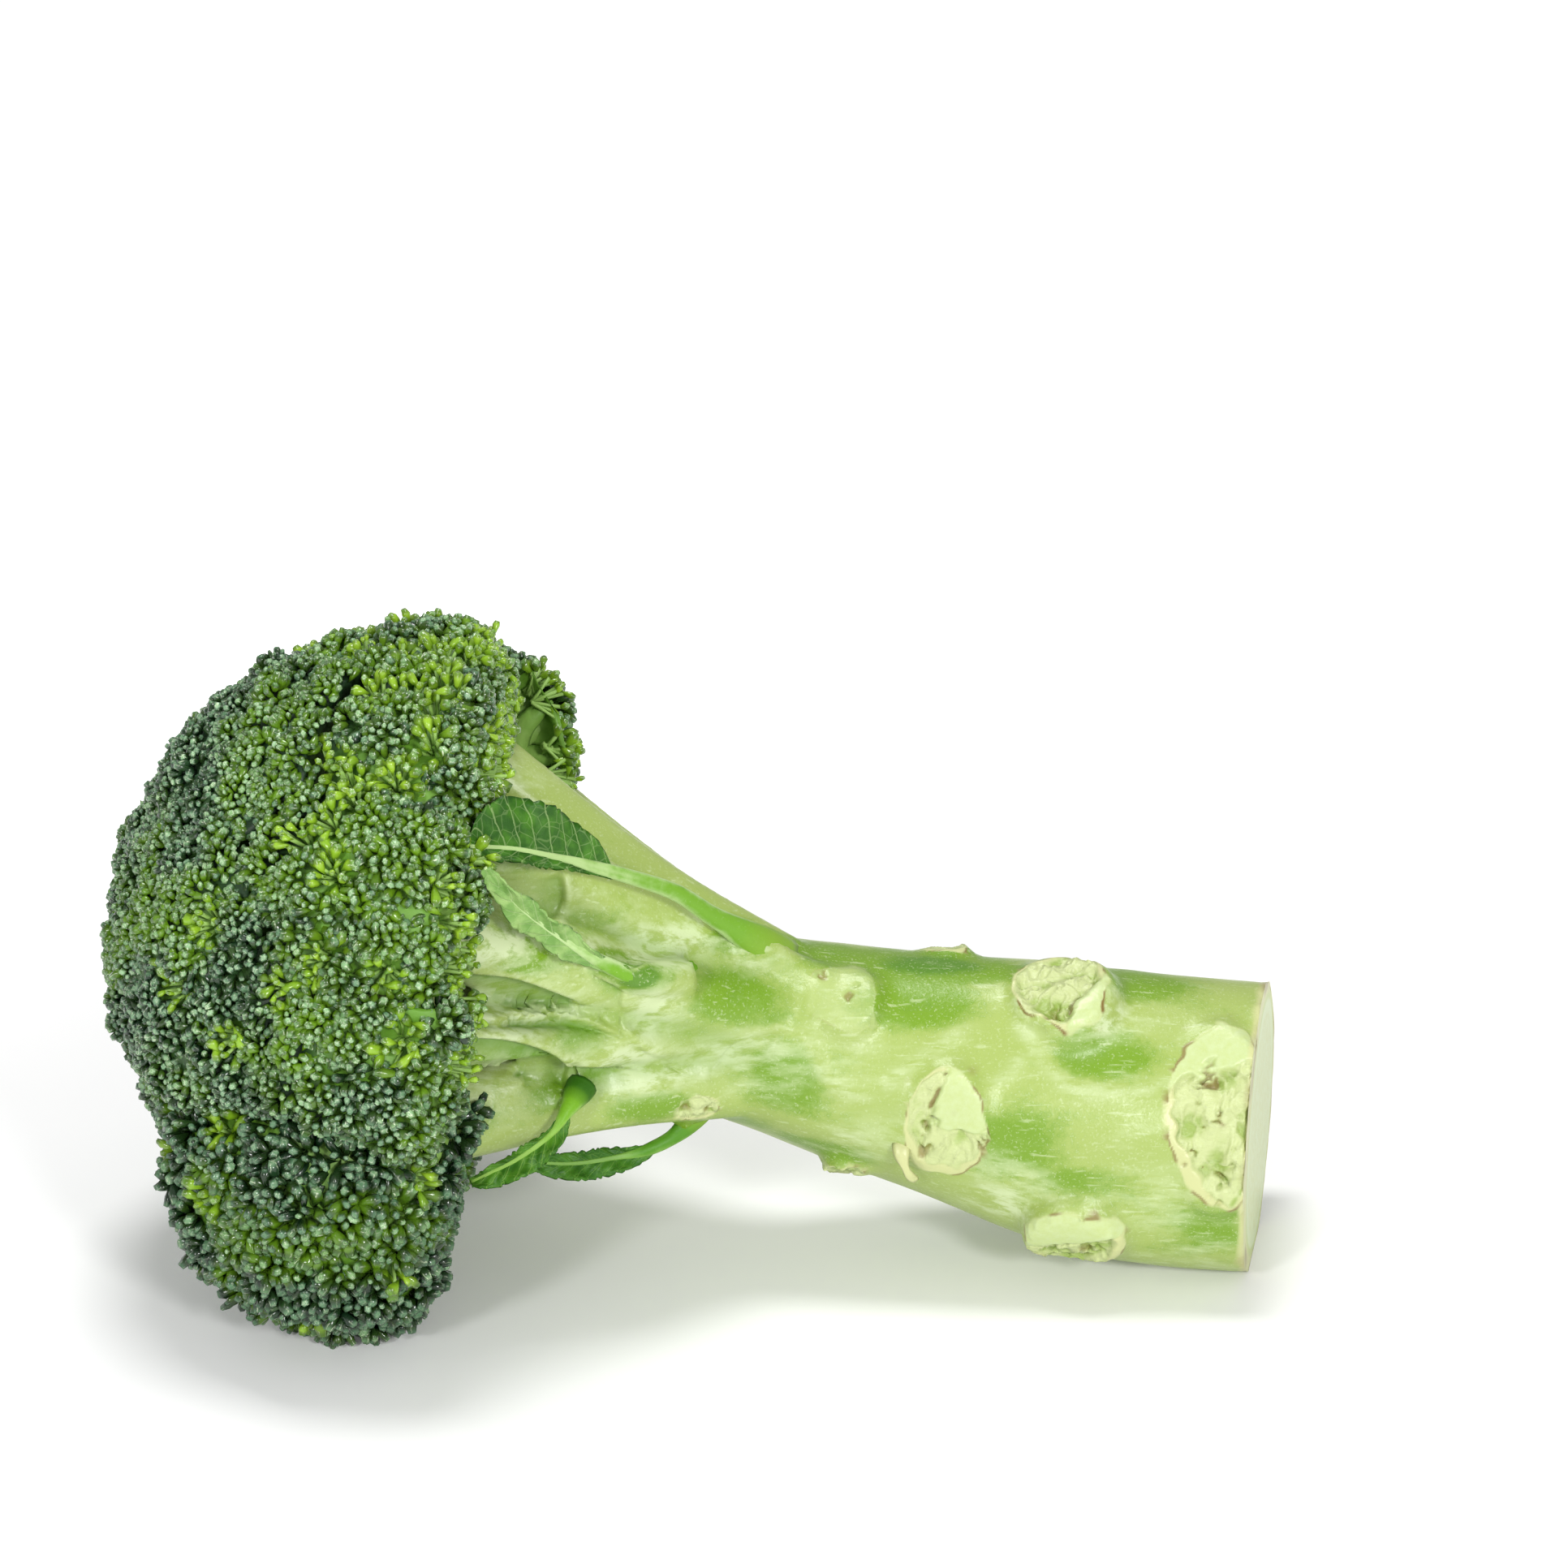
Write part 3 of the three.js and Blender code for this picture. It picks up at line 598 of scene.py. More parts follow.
@dataclass(frozen=True)
class StalkFinish:
    """The skin of the stalk: pale green with darker patches, waxy bloom, and cut tissue, and
    painted shade in its creases and in the hollows of its torn tissue.
    """

    light: Colour = (0.330, 0.428, 0.105)
    green: Colour = (0.160, 0.300, 0.012)
    deep: Colour = (0.085, 0.220, 0.006)
    # The painted shade colour of the creases: under a branch that laps over the next, and in the
    # valleys between branches.
    fold: Colour = (0.100, 0.235, 0.006)
    bloom: Colour = (0.540, 0.630, 0.350)
    pith: Colour = (0.510, 0.575, 0.265)
    # The darker yellow-green that the torn tissue's pits and low lumps take, as painted shade.
    hollow: Colour = (0.290, 0.400, 0.085)
    cream: Colour = (0.540, 0.560, 0.260)
    healed: Colour = (0.450, 0.540, 0.175)
    brown: Colour = (0.190, 0.120, 0.025)

    def material(self) -> bpy.types.Material:
        """The material of the stalk."""
        graph = Graph("stalk skin")
        place = graph.millimetres()
        drawn = graph.millimetres(along=0.40)
        grain = graph.noise(place, 0.45)
        coarse = graph.noise(place, 1.3, detail=3.0, rough=0.6)
        patches = graph.noise(drawn, 8.0, detail=3.0, rough=0.55)
        haze = graph.noise(graph.millimetres(along=0.25), 2.2, detail=5.0, rough=0.65)
        frost = graph.noise(drawn, 12.0, detail=5.0, rough=0.65)
        strokes = graph.noise(graph.millimetres(along=0.14), 0.9)
        fibres = graph.noise(graph.millimetres(along=0.45), 1.3, detail=4.0, rough=0.6)
        rust = graph.noise(place, 2.1, detail=4.0, rough=0.6)
        speckled = 0.45 * (coarse - 0.5) + 0.45 * (grain - 0.5)
        shade = graph.mark("shade") + (patches - 0.5) + speckled
        bloomed = graph.mark("bloom") + 0.55 * graph.step(frost, 0.50, 0.68)
        deep = graph.clamped(graph.mark("deep") + 0.5 * (fibres - 0.5))
        torn = graph.layered(
            self.pith,
            # Painted shade where the torn tissue lies deep.
            (graph.step(deep, 0.42, 0.98), self.hollow),
            (graph.step(rust + 0.10 * deep, 0.72, 0.80) * 0.7, self.brown),
        )
        inward = graph.mark("inward")
        uneven = inward + 0.08 * (coarse - 0.5)
        face = graph.layered(
            self.cream,
            (graph.step(inward, 0.10, 0.24), self.healed),
            (graph.step(uneven, 0.26, 0.34), self.bloom),
            (graph.step(uneven, 0.48, 0.60),
             graph.blend(graph.step(fibres, 0.42, 0.62), self.pith, self.bloom)),
        )
        pith = graph.mark("pith")
        skin = graph.layered(
            self.light,
            (graph.step(shade, 0.05, 0.62), self.green),
            (graph.step(shade, 0.85, 1.60), self.deep),
            (graph.clamped(bloomed * graph.step(haze, 0.36, 0.60)), self.bloom),
            (graph.step(grain, 0.56, 0.72) * 0.40, self.bloom),
            (graph.step(strokes, 0.63, 0.72) * 0.45, self.bloom),
            # Painted shade in the creases.
            (graph.mark("crease") * 0.85, self.fold),
            (graph.mark("sealed"), graph.blend(coarse, self.healed, self.bloom)),
            (graph.mark("border"), self.cream),
            (pith, torn),
            (graph.mark("cut"), face),
            (graph.mark("rim"), self.brown),
        )
        relief = graph.bump(0.04 * grain + 0.10 * coarse + 0.55 * pith * fibres, 0.8)
        return graph.finish({"Base Color": skin, "Roughness": 0.36, "Normal": relief})


@dataclass(frozen=True)
class LeafFinish:
    """A leaf's skin: a pale midrib, side veins that fork off it, and a fine net between them."""

    blade: Colour = (0.018, 0.085, 0.004)
    light: Colour = (0.055, 0.180, 0.010)
    rib: Colour = (0.380, 0.530, 0.210)
    stem: Colour = (0.150, 0.330, 0.024)
    foot: Colour = (0.200, 0.345, 0.030)

    def material(self, name: str) -> bpy.types.Material:
        """The material of one leaf.

        Args:
            name: the leaf's name.

        Returns:
            The material.
        """
        graph = Graph(name)
        place = graph.millimetres()
        across, along = graph.round_and_along()
        uneven = graph.noise(place, 3.0, detail=4.0)
        fine = graph.noise(place, 0.5, detail=3.0)
        away = graph.maths("ABSOLUTE", across * 2.0 - 1.0)
        slant = along * 9.0 - away * 1.3 + uneven * 0.5
        side_vein = graph.step(graph.maths("PINGPONG", slant, 0.5), 0.075, 0.02)
        edges = {"feature": "DISTANCE_TO_EDGE"}
        sockets = {"Vector": place, "Scale": 0.42}
        cells = graph.field("ShaderNodeTexVoronoi", edges, sockets, "Distance")
        net = graph.step(cells, 0.045, 0.012) * 0.16
        vein = graph.maths("MAXIMUM", side_vein * 0.4, net)
        upper = graph.step(graph.mark("upper") + 0.5 * (uneven - 0.5), 0.62, 0.92)
        stalk = graph.layered(
            self.rib,
            (upper, self.stem),
            (graph.step(fine, 0.60, 0.75) * 0.25, self.rib),
            (graph.mark("base"), self.foot),
        )
        ribbed = graph.mark("rib")
        skin = graph.layered(
            self.blade,
            (graph.step(uneven, 0.35, 0.72), self.light),
            (vein, self.rib),
            (ribbed, stalk),
        )
        relief = graph.bump(0.08 * fine - 0.22 * vein * (1 - ribbed), 0.8)
        sheen = {"Roughness": 0.42, "Specular IOR Level": 0.25}
        return graph.finish({"Base Color": skin, "Normal": relief, **sheen})


# ---- Florets ----
@dataclass(frozen=True)
class Side:
    """A flat side that a floret stays behind, over which its edge rolls."""

    normal: Array
    offset: float
    width: float
    drop: float

    def depth(self, points: Array) -> Array:
        """How far points are inside the side."""
        return points @ self.normal - self.offset


def roll_over(sides: Sequence[Side], points: Array) -> Array:
    """How far the surface has rolled over at points near the sides."""
    most = np.zeros(len(points))
    for side in sides:
        near = np.clip(1 - side.depth(points) / side.width, 0, None)
        most = np.maximum(most, side.drop * near * near)
    return most


@dataclass
class Floret:
    """One bud-covered dome on the end of its branch.

    The sizes are the part's own. bud is the size of its buds against the usual one, and long
    their length against that, ripe is how yellow it is, loose is the share of its clusters that
    stand open, fill is how far its edges rise to the crown's own round, and bright is how waxy
    and bright its buds look: it sets how much pale bloom and painted highlight they take, and
    how little painted shade. The two low lobes are set low, which darkens them partly as painted
    shade.
    """

    name: str
    around: float
    lean: float
    reach: float
    ball: float
    crowd: float
    skirt: float
    neck: Point
    branch: float
    bud: float = 1.0
    ripe: float = 0.15
    loose: float = 0.1
    fill: float = 0.92
    long: float = 1.0
    bright: float = 0.5
    walls: list[Side] = field(default_factory=list)

    EDGE_WIDTH = 7.0
    EDGE_DROP = 2.6
    SKIRT_WIDTH = 11.0
    SKIRT_DROP = 6.0
    GAP = 0.3
    KNOT_RISE = 1.1
    KNOT_PITCH = 5.2
    MOST = math.radians(118)
    FILL_WIDTH = 14.0
    HEM_WIDTH = 10.0
    MOST_FILL = 15.0
    CROWN_RADIUS = 57.5
    HINT = (0.31, 0.67, 0.67)
    RIM_LEAN = 60.0
    RIM_BRANCH = (-12.0, 7.0, -2.0)
    CREST_BRANCH = (4.0, 3.0, 0.0)
    STEP = 0.02
    WIDE_STEP = 0.04
    MOST_STRETCH = 1.9
    POLAR_STEPS = 120

    def __post_init__(self) -> None:
        """Works the dome's places out."""
        self.outward = heading(self.lean, self.around)
        self.top = CROWN_CENTRE + self.outward * self.reach
        self.middle = CROWN_CENTRE + self.outward * (self.reach - self.ball)
        self.sight = unit(self.top - FORK) * self.crowd
        lean, distance, around = self.neck
        self.foot = CROWN_CENTRE + heading(lean, around) * distance
        self.across = unit(np.cross(self.HINT, self.outward))
        self.along = np.cross(self.outward, self.across)
        offset = float(AXIS @ CROWN_CENTRE) - self.skirt
        self.hem = Side(AXIS, offset, self.SKIRT_WIDTH, self.SKIRT_DROP)

    @property
    def is_rim(self) -> bool:
        """Whether the floret is one of those round the crown's outer edge."""
        return self.lean > self.RIM_LEAN

    def keep_clear_of(self, others: Sequence["Floret"]) -> None:
        """Sets the flat sides that part this floret from the others."""
        for other in others:
            if other is not self:
                normal = unit(self.sight - other.sight)
                offset = float(normal @ FORK) + self.GAP / 2
                self.walls.append(Side(normal, offset, self.EDGE_WIDTH, self.EDGE_DROP))

    def branch_line(self) -> Line:
        """The middle of the branch that carries the floret."""
        outward = self.foot - FORK
        sideways = unit(outward - AXIS * (outward @ AXIS))
        along, aside, bulge = self.RIM_BRANCH if self.is_rim else self.CREST_BRANCH
        start = FORK + AXIS * along + sideways * aside
        bend = start + (self.foot - start) * 0.45 + sideways * bulge
        return Line([start, bend, self.foot])

    def direction(self, polar: Array, angle: Array) -> Array:
        """Directions from the dome's middle, polar off its top and angle round it."""
        polar, angle = np.broadcast_arrays(polar, angle)
        return (
            np.cos(polar)[..., None] * self.outward
            + (np.sin(polar) * np.cos(angle))[..., None] * self.across
            + (np.sin(polar) * np.sin(angle))[..., None] * self.along
        )

    def depth(self, points: Array, below_hem: float = 0.0) -> Array:
        """How far points are inside all the floret's sides. The hem may hang by below_hem."""
        inside = [side.depth(points) for side in self.walls]
        return np.min(inside + [self.hem.depth(points) + below_hem], axis=0)

    def surface(self, directions: Array) -> Array:
        """Points of the floret's rolled-over surface, in directions from its middle.

        Near the other florets the surface rises part of the way to the crown's own round.
        """
        plain = self.middle + directions * self.ball
        lift = self.KNOT_RISE * wavy(plain - HEAD_SHIFT, self.KNOT_PITCH)
        lift = lift - roll_over([self.hem], plain)
        sight = unit(plain - FORK)
        back = roll_over(self.walls, plain)
        wall_depth = np.min([side.depth(plain) for side in self.walls], axis=0)
        short = self.CROWN_RADIUS - np.linalg.norm(plain - CROWN_CENTRE, axis=1)
        short = np.clip(short, 0, self.MOST_FILL)
        share = self.fill * smooth_step(self.FILL_WIDTH, 0, wall_depth)
        share = share * smooth_step(0, self.HEM_WIDTH, self.hem.depth(plain))
        return plain + directions * lift[:, None] + sight * (share * (short + back) - back)[:, None]

    def facing(self, directions: Array) -> Array:
        """The way the floret's surface faces, in directions from its middle."""
        edges = []
        for way in square_to(directions):
            ahead = self.surface(unit(directions + self.STEP * way))
            edges.append(ahead - self.surface(unit(directions - self.STEP * way)))
        normal = unit(np.cross(*edges))
        return normal * np.sign(np.sum(normal * directions, axis=1, keepdims=True))

    def stretch(self, direction: Array) -> float:
        """How much wider the surface is in a direction than on the plain ball."""
        first, second = square_to(direction)
        ways = self.WIDE_STEP * np.array([first, -first, second, -second])
        east, west, north, south = self.surface(unit(direction + ways))
        area = np.linalg.norm(np.cross(east - west, north - south))
        area = area / (2 * self.WIDE_STEP * self.ball) ** 2
        return float(np.clip(math.sqrt(area), 1.0, self.MOST_STRETCH))

    def furthest(self, angle: Array) -> Array:
        """How far round its dome the floret reaches, for angles round it."""
        steps = self.POLAR_STEPS
        polar = np.linspace(0, self.MOST, steps)
        points = self.middle + self.direction(polar[None, :], angle[:, None]) * self.ball
        inside = self.depth(points.reshape(-1, 3), below_hem=2.0).reshape(len(angle), steps) > 0
        count = np.where(inside.all(axis=1), steps - 1, np.argmin(inside, axis=1))
        return polar[np.maximum(count - 1, 0)]


FLORETS = [
    Floret("floret_tip", 20, 9, 58, 46, 1, 60, (8, 31, 20), 7, bud=0.93, loose=0.03),
    Floret("floret_crest_front", 2, 43, 59, 46, 1, 60, (43, 31, 2), 7, bud=0.97, loose=0.05),
    Floret("floret_crest_upper", 68, 46, 60, 44, 1, 60, (43, 31, 68), 7, bud=0.95, loose=0.06),
    Floret("floret_crest_back", 140, 44, 58, 46, 1, 60, (43, 31, 140), 7, loose=0.04),
    Floret("floret_crest_rear", 212, 44, 57, 46, 1, 60, (43, 31, 212), 7, loose=0.04),
    Floret("floret_crest_lower", 286, 40, 55, 42, 1, 60, (40, 30, 286), 7, bud=0.98, loose=0.05),
    Floret("floret_rim_front", 29, 76, 59.5, 38, 1, 5, (87, 39, 26), 7.7,
           bud=1.08, ripe=0.4, loose=0.3),
    Floret("floret_rim_front_middle", 0, 81, 59.5, 34, 0.985, 10, (90, 41, 1), 5.4,
           bud=1.06, ripe=0.3, loose=0.22),
    # The two low lobes have a low bright, which darkens their buds partly as painted shade.
    Floret("floret_rim_front_low", -48, 77, 69, 30, 1.05, 15, (83, 40, -32), 8.4,
           bud=1.28, ripe=0.10, loose=0.06, fill=0.25, long=1.25, bright=0.1),
    Floret("floret_rim_back_low", -124, 84, 65, 30, 1, 14, (84, 40, -138), 8.2,
           bud=1.22, fill=0.25, long=1.2, bright=0.2),
    Floret("floret_rim_back", 192, 84, 56.5, 40, 1, 12, (88, 40, 190), 7.6, bud=1.06),
    Floret("floret_rim_back_high", 144, 88, 55, 33, 1, 18, (92, 38, 140), 7.2, bud=1.06, loose=0.2),
    Floret("floret_rim_top", 100, 71, 58, 27, 1, 5, (88, 34, 92), 7.2,
           bud=1.05, ripe=0.5, loose=0.5),
    Floret("floret_rim_front_high", 62, 79, 57.5, 31, 1, 4, (90, 38, 54), 7.6,
           bud=1.08, ripe=0.7, loose=0.6),
]


@dataclass
class Cluster:
    """A knot of buds: its place and facing, its size, and how it differs from the rest."""

    direction: Array
    size: float
    rise: float
    is_open: bool
    turn: float


@dataclass
class Buds:
    """The buds of a floret, one row for each.

    point is where a bud stands, root where its stem begins, and axis the way it points. share is
    how far out on its cluster it is, and is_open whether that cluster is open.
    """

    point: Array
    root: Array
    axis: Array
    share: Array
    is_open: Array


class Coat:
    """The buds that cover one floret.

    A closed cluster is a tight knot. An open one has fewer buds, and shows their own stems.
    """

    SPACING = 5.6
    PER_CLUSTER = 120
    PITCH = 0.675
    OPEN_PITCH = 1.08
    WIDTH = 0.74
    LENGTH = 1.16
    HANG = 5.5
    RAGGED = 2.4
    SINK = 1.5
    STEM_DEPTH = 6.0
    STEM_RADIUS = 0.36
    CRUMPLE = 0.035
    TRIES = 2600
    INSIDE = 0.8
    OVERLAP = 0.35
    LEAST_DEPTH = -0.6
    BELOW_HANG = 1.5
    SPREAD = 0.62
    SPLAY = 1.15
    LOLL = 0.48
    HEM = 3.0

    def __init__(self, floret: Floret, seed: int) -> None:
        """Places the clusters and their buds.

        Args:
            floret: the dome that is covered.
            seed: starts the random draws.
        """
        self.floret = floret
        self.random = np.random.default_rng(seed)
        self.clusters = self._clusters()
        self._place_buds()

    def _hang(self, points: Array) -> Array:
        """How far the buds hang below the hem, which is ragged."""
        return self.HANG + self.RAGGED * wavy(points, 1.5)

    def _clusters(self) -> list[Cluster]:
        """Clusters spread unevenly over the dome, none too near another."""
        floret, random = self.floret, self.random
        polar = np.arccos(1 - random.random(self.TRIES) * (1 - math.cos(floret.MOST)))
        directions = floret.direction(polar, random.random(self.TRIES) * 2 * math.pi)
        plain = floret.middle + directions * floret.ball
        directions = directions[floret.depth(plain, self._hang(plain)) > self.INSIDE]
        points = floret.surface(directions)
        kept: list[int] = []
        for k in range(len(points)):
            gap = self.SPACING * (0.80 + 0.40 * random.random())
            if not kept or np.min(np.linalg.norm(points[kept] - points[k], axis=1)) > gap:
                kept.append(k)
        loose = floret.loose + 0.25 * (floret.hem.depth(points) < self.HEM)
        return [
            Cluster(
                directions[k],
                size=random.uniform(0.9, 1.14),
                rise=random.uniform(0.9, 2.5) * floret.bud,
                is_open=bool(random.random() < loose[k]),
                turn=random.uniform(0, 2 * math.pi),
            )
            for k in kept
        ]

    def _place_buds(self) -> None:
        """Spirals buds out over each cluster, and keeps those on the cluster's own ground."""
        floret, random = self.floret, self.random
        centres = floret.surface(np.array([c.direction for c in self.clusters]))
        self.open_centres = centres[[c.is_open for c in self.clusters]]
        count = np.arange(self.PER_CLUSTER)
        rows = []
        for number, cluster in enumerate(self.clusters):
            pitch = (self.OPEN_PITCH if cluster.is_open else self.PITCH) * floret.bud * cluster.size
            pitch = pitch / floret.stretch(cluster.direction)
            jitter = 1 + 0.08 * random.standard_normal(len(count))
            radius = pitch * np.sqrt(count + 0.35) * jitter
            angle = cluster.turn + count * GOLDEN_ANGLE + 0.1 * random.standard_normal(len(count))
            offset = turned(angle, *square_to(cluster.direction)) * radius[:, None]
            directions = unit(cluster.direction * floret.ball + offset)
            points = floret.surface(directions)
            distance = distances(points, centres)
            own = distance[:, number].copy()
            distance[:, number] = np.inf
            plain = floret.middle + directions * floret.ball
            depth = floret.depth(plain, self._hang(plain) + self.BELOW_HANG)
            keep = (own < distance.min(axis=1) + self.OVERLAP) & (depth > self.LEAST_DEPTH)
            share = np.clip(own / (self.SPREAD * self.SPACING), 0, 1.3)
            normal = floret.facing(directions)
            radial = points - centres[number]
            radial = unit(radial - normal * np.sum(radial * normal, axis=1, keepdims=True))
            lift = cluster.rise * (1 - share**2) - self.SINK
            if cluster.is_open:
                lift = lift + random.uniform(-0.9, 1.0, len(count))
            point = points + normal * lift[:, None]
            root = centres[number] - normal * self.STEM_DEPTH + (points - centres[number]) * 0.2
            axis = unit(normal + radial * (self.SPLAY * share)[:, None])
            if cluster.is_open:
                axis = unit(axis + unit(point - root))
            is_open = np.full(len(count), cluster.is_open)
            rows.append([values[keep] for values in (point, root, axis, share, is_open)])
        self.buds = Buds(*(np.concatenate(values) for values in zip(*rows)))

    @staticmethod
    def bud() -> Shape:
        """One bud, about 2 wide over a drawn-out neck, with a dimple in its tip."""
        widths = np.array([0.0, 0.64, 1.02, 0.72, 0.0])
        heights = np.array([0.76, 0.92, 0.25, -0.55, -1.70])

        def place(angle: Array, ring: Array) -> Array:
            """Where the ball's points go on the bud."""
            height, width = heights[ring.astype(int)], widths[ring.astype(int)]
            bend = 0.16 * (np.maximum(height, -0.95) + 0.95) ** 2
            x = np.cos(angle) * width * 1.08 + bend - 0.25
            return np.stack([x, np.sin(angle) * width * 0.86, height - 0.12 * x], axis=-1)

        return drawn_ball(6, 4, place)

    @staticmethod
    def bud_stem() -> Shape:
        """A bud's own stem, from 0 at its root to 1 at the bud."""
        widths = np.array([0.0, 1.0, 0.80, 1.25, 0.0])
        heights = np.array([1.0, 1.0, 0.55, 0.0, 0.0])

        def place(angle: Array, ring: Array) -> Array:
            """Where the ball's points go on the stem."""
            height, width = heights[ring.astype(int)], widths[ring.astype(int)]
            return np.stack([np.cos(angle) * width, np.sin(angle) * width, height], axis=-1)

        return drawn_ball(5, 4, place)

    def meshes(self) -> tuple[Mesh, Mesh]:
        """All the buds of the floret, and the stems of the open ones, in millimetres."""
        floret, buds, random = self.floret, self.buds, self.random
        count = len(buds.share)
        axis = unit(buds.axis + self.LOLL / floret.bud**2 * random.standard_normal((count, 3)))
        across = turned(random.random(count) * 2 * math.pi, *square_to(axis))
        along = np.cross(axis, across)
        share = np.clip(buds.share, 0, 1)
        size = floret.bud * np.where(buds.is_open, 0.62 + 0.50 * share, 0.80 + 0.28 * share)
        size = size * np.clip(1 + 0.15 * random.standard_normal(count), 0.68, 1.38)
        width = self.WIDTH * size
        length = self.LENGTH * floret.long * size * (1 + 0.12 * random.standard_normal(count))
        centre = buds.point + axis * (0.15 * length)[:, None]
        centre[:, 2] = np.maximum(centre[:, 2], 0.8 * width)
        turns = [across * width[:, None], along * width[:, None], axis * length[:, None]]
        mesh = copies(self.bud(), np.stack(turns, axis=1), centre, floret.name + "_buds")
        per_bud = len(mesh.vertices) // count
        points = places_of(mesh)
        crumple = self.CRUMPLE * np.repeat(width, per_bud)[:, None]
        points += crumple * random.standard_normal(points.shape)
        points[:, 2] = np.maximum(points[:, 2], 0)
        move_to(mesh, points)
        # Each bud's tone, random about its floret's bright, sets how much pale bloom and painted
        # highlight it takes, and how little painted shade.
        tone = np.clip(floret.bright + 0.30 * random.standard_normal(count), 0, 1)
        young = 0.15 + 0.45 * (1 - share) + 0.35 * random.random(count)
        young = np.where(buds.is_open, young, 0.0)
        ripe = np.clip(floret.ripe * 0.35 * random.random(count) + young, 0, 1)
        mark(mesh, "tone", np.repeat(tone, per_bud))
        mark(mesh, "warm", np.repeat(ripe, per_bud))
        root = buds.root[buds.is_open]
        reach = (centre - axis * (0.75 * length)[:, None])[buds.is_open] - root
        first, second = square_to(unit(reach))
        turns = np.stack([first * self.STEM_RADIUS, second * self.STEM_RADIUS, reach], axis=1)
        return mesh, copies(self.bud_stem(), turns, root, floret.name + "_stems")


def copies(shape: Shape, turns: Array, centres: Array, name: str) -> Mesh:
    """Many copies of one small shape in one mesh. The shape is used up.

    Args:
        shape: what is copied.
        turns: for each copy, where its x, y and z directions go, with their lengths.
        centres: for each copy, where its origin goes.
        name: the mesh's name.

    Returns:
        The mesh.
    """
    one = bpy.data.meshes.new("one")
    shape.to_mesh(one)
    shape.free()
    points = places_of(one)
    count, size = len(centres), len(points)
    spots = np.einsum("vk,nkc->nvc", points, turns) + centres[:, None, :]
    corners = numbers(one.loops, "vertex_index", 1, np.int32)
    starts = numbers(one.polygons, "loop_start", 1, np.int32)
    flat = numbers(one.uv_layers[0].data, "uv", 2, np.float32)
    mesh = bpy.data.meshes.new(name)
    mesh.vertices.add(count * size)
    mesh.vertices.foreach_set("co", spots.astype(np.float32).ravel())
    mesh.loops.add(count * len(corners))
    every = np.arange(count, dtype=np.int32)[:, None]
    mesh.loops.foreach_set("vertex_index", (corners[None, :] + every * size).ravel())
    mesh.polygons.add(count * len(starts))
    mesh.polygons.foreach_set("loop_start", (starts[None, :] + every * len(corners)).ravel())
    layer = mesh.uv_layers.new(name="UVMap")
    layer.data.foreach_set("uv", np.tile(flat, count))
    mesh.update(calc_edges=True)
    mesh.validate()
    bpy.data.meshes.remove(one)
    return mesh


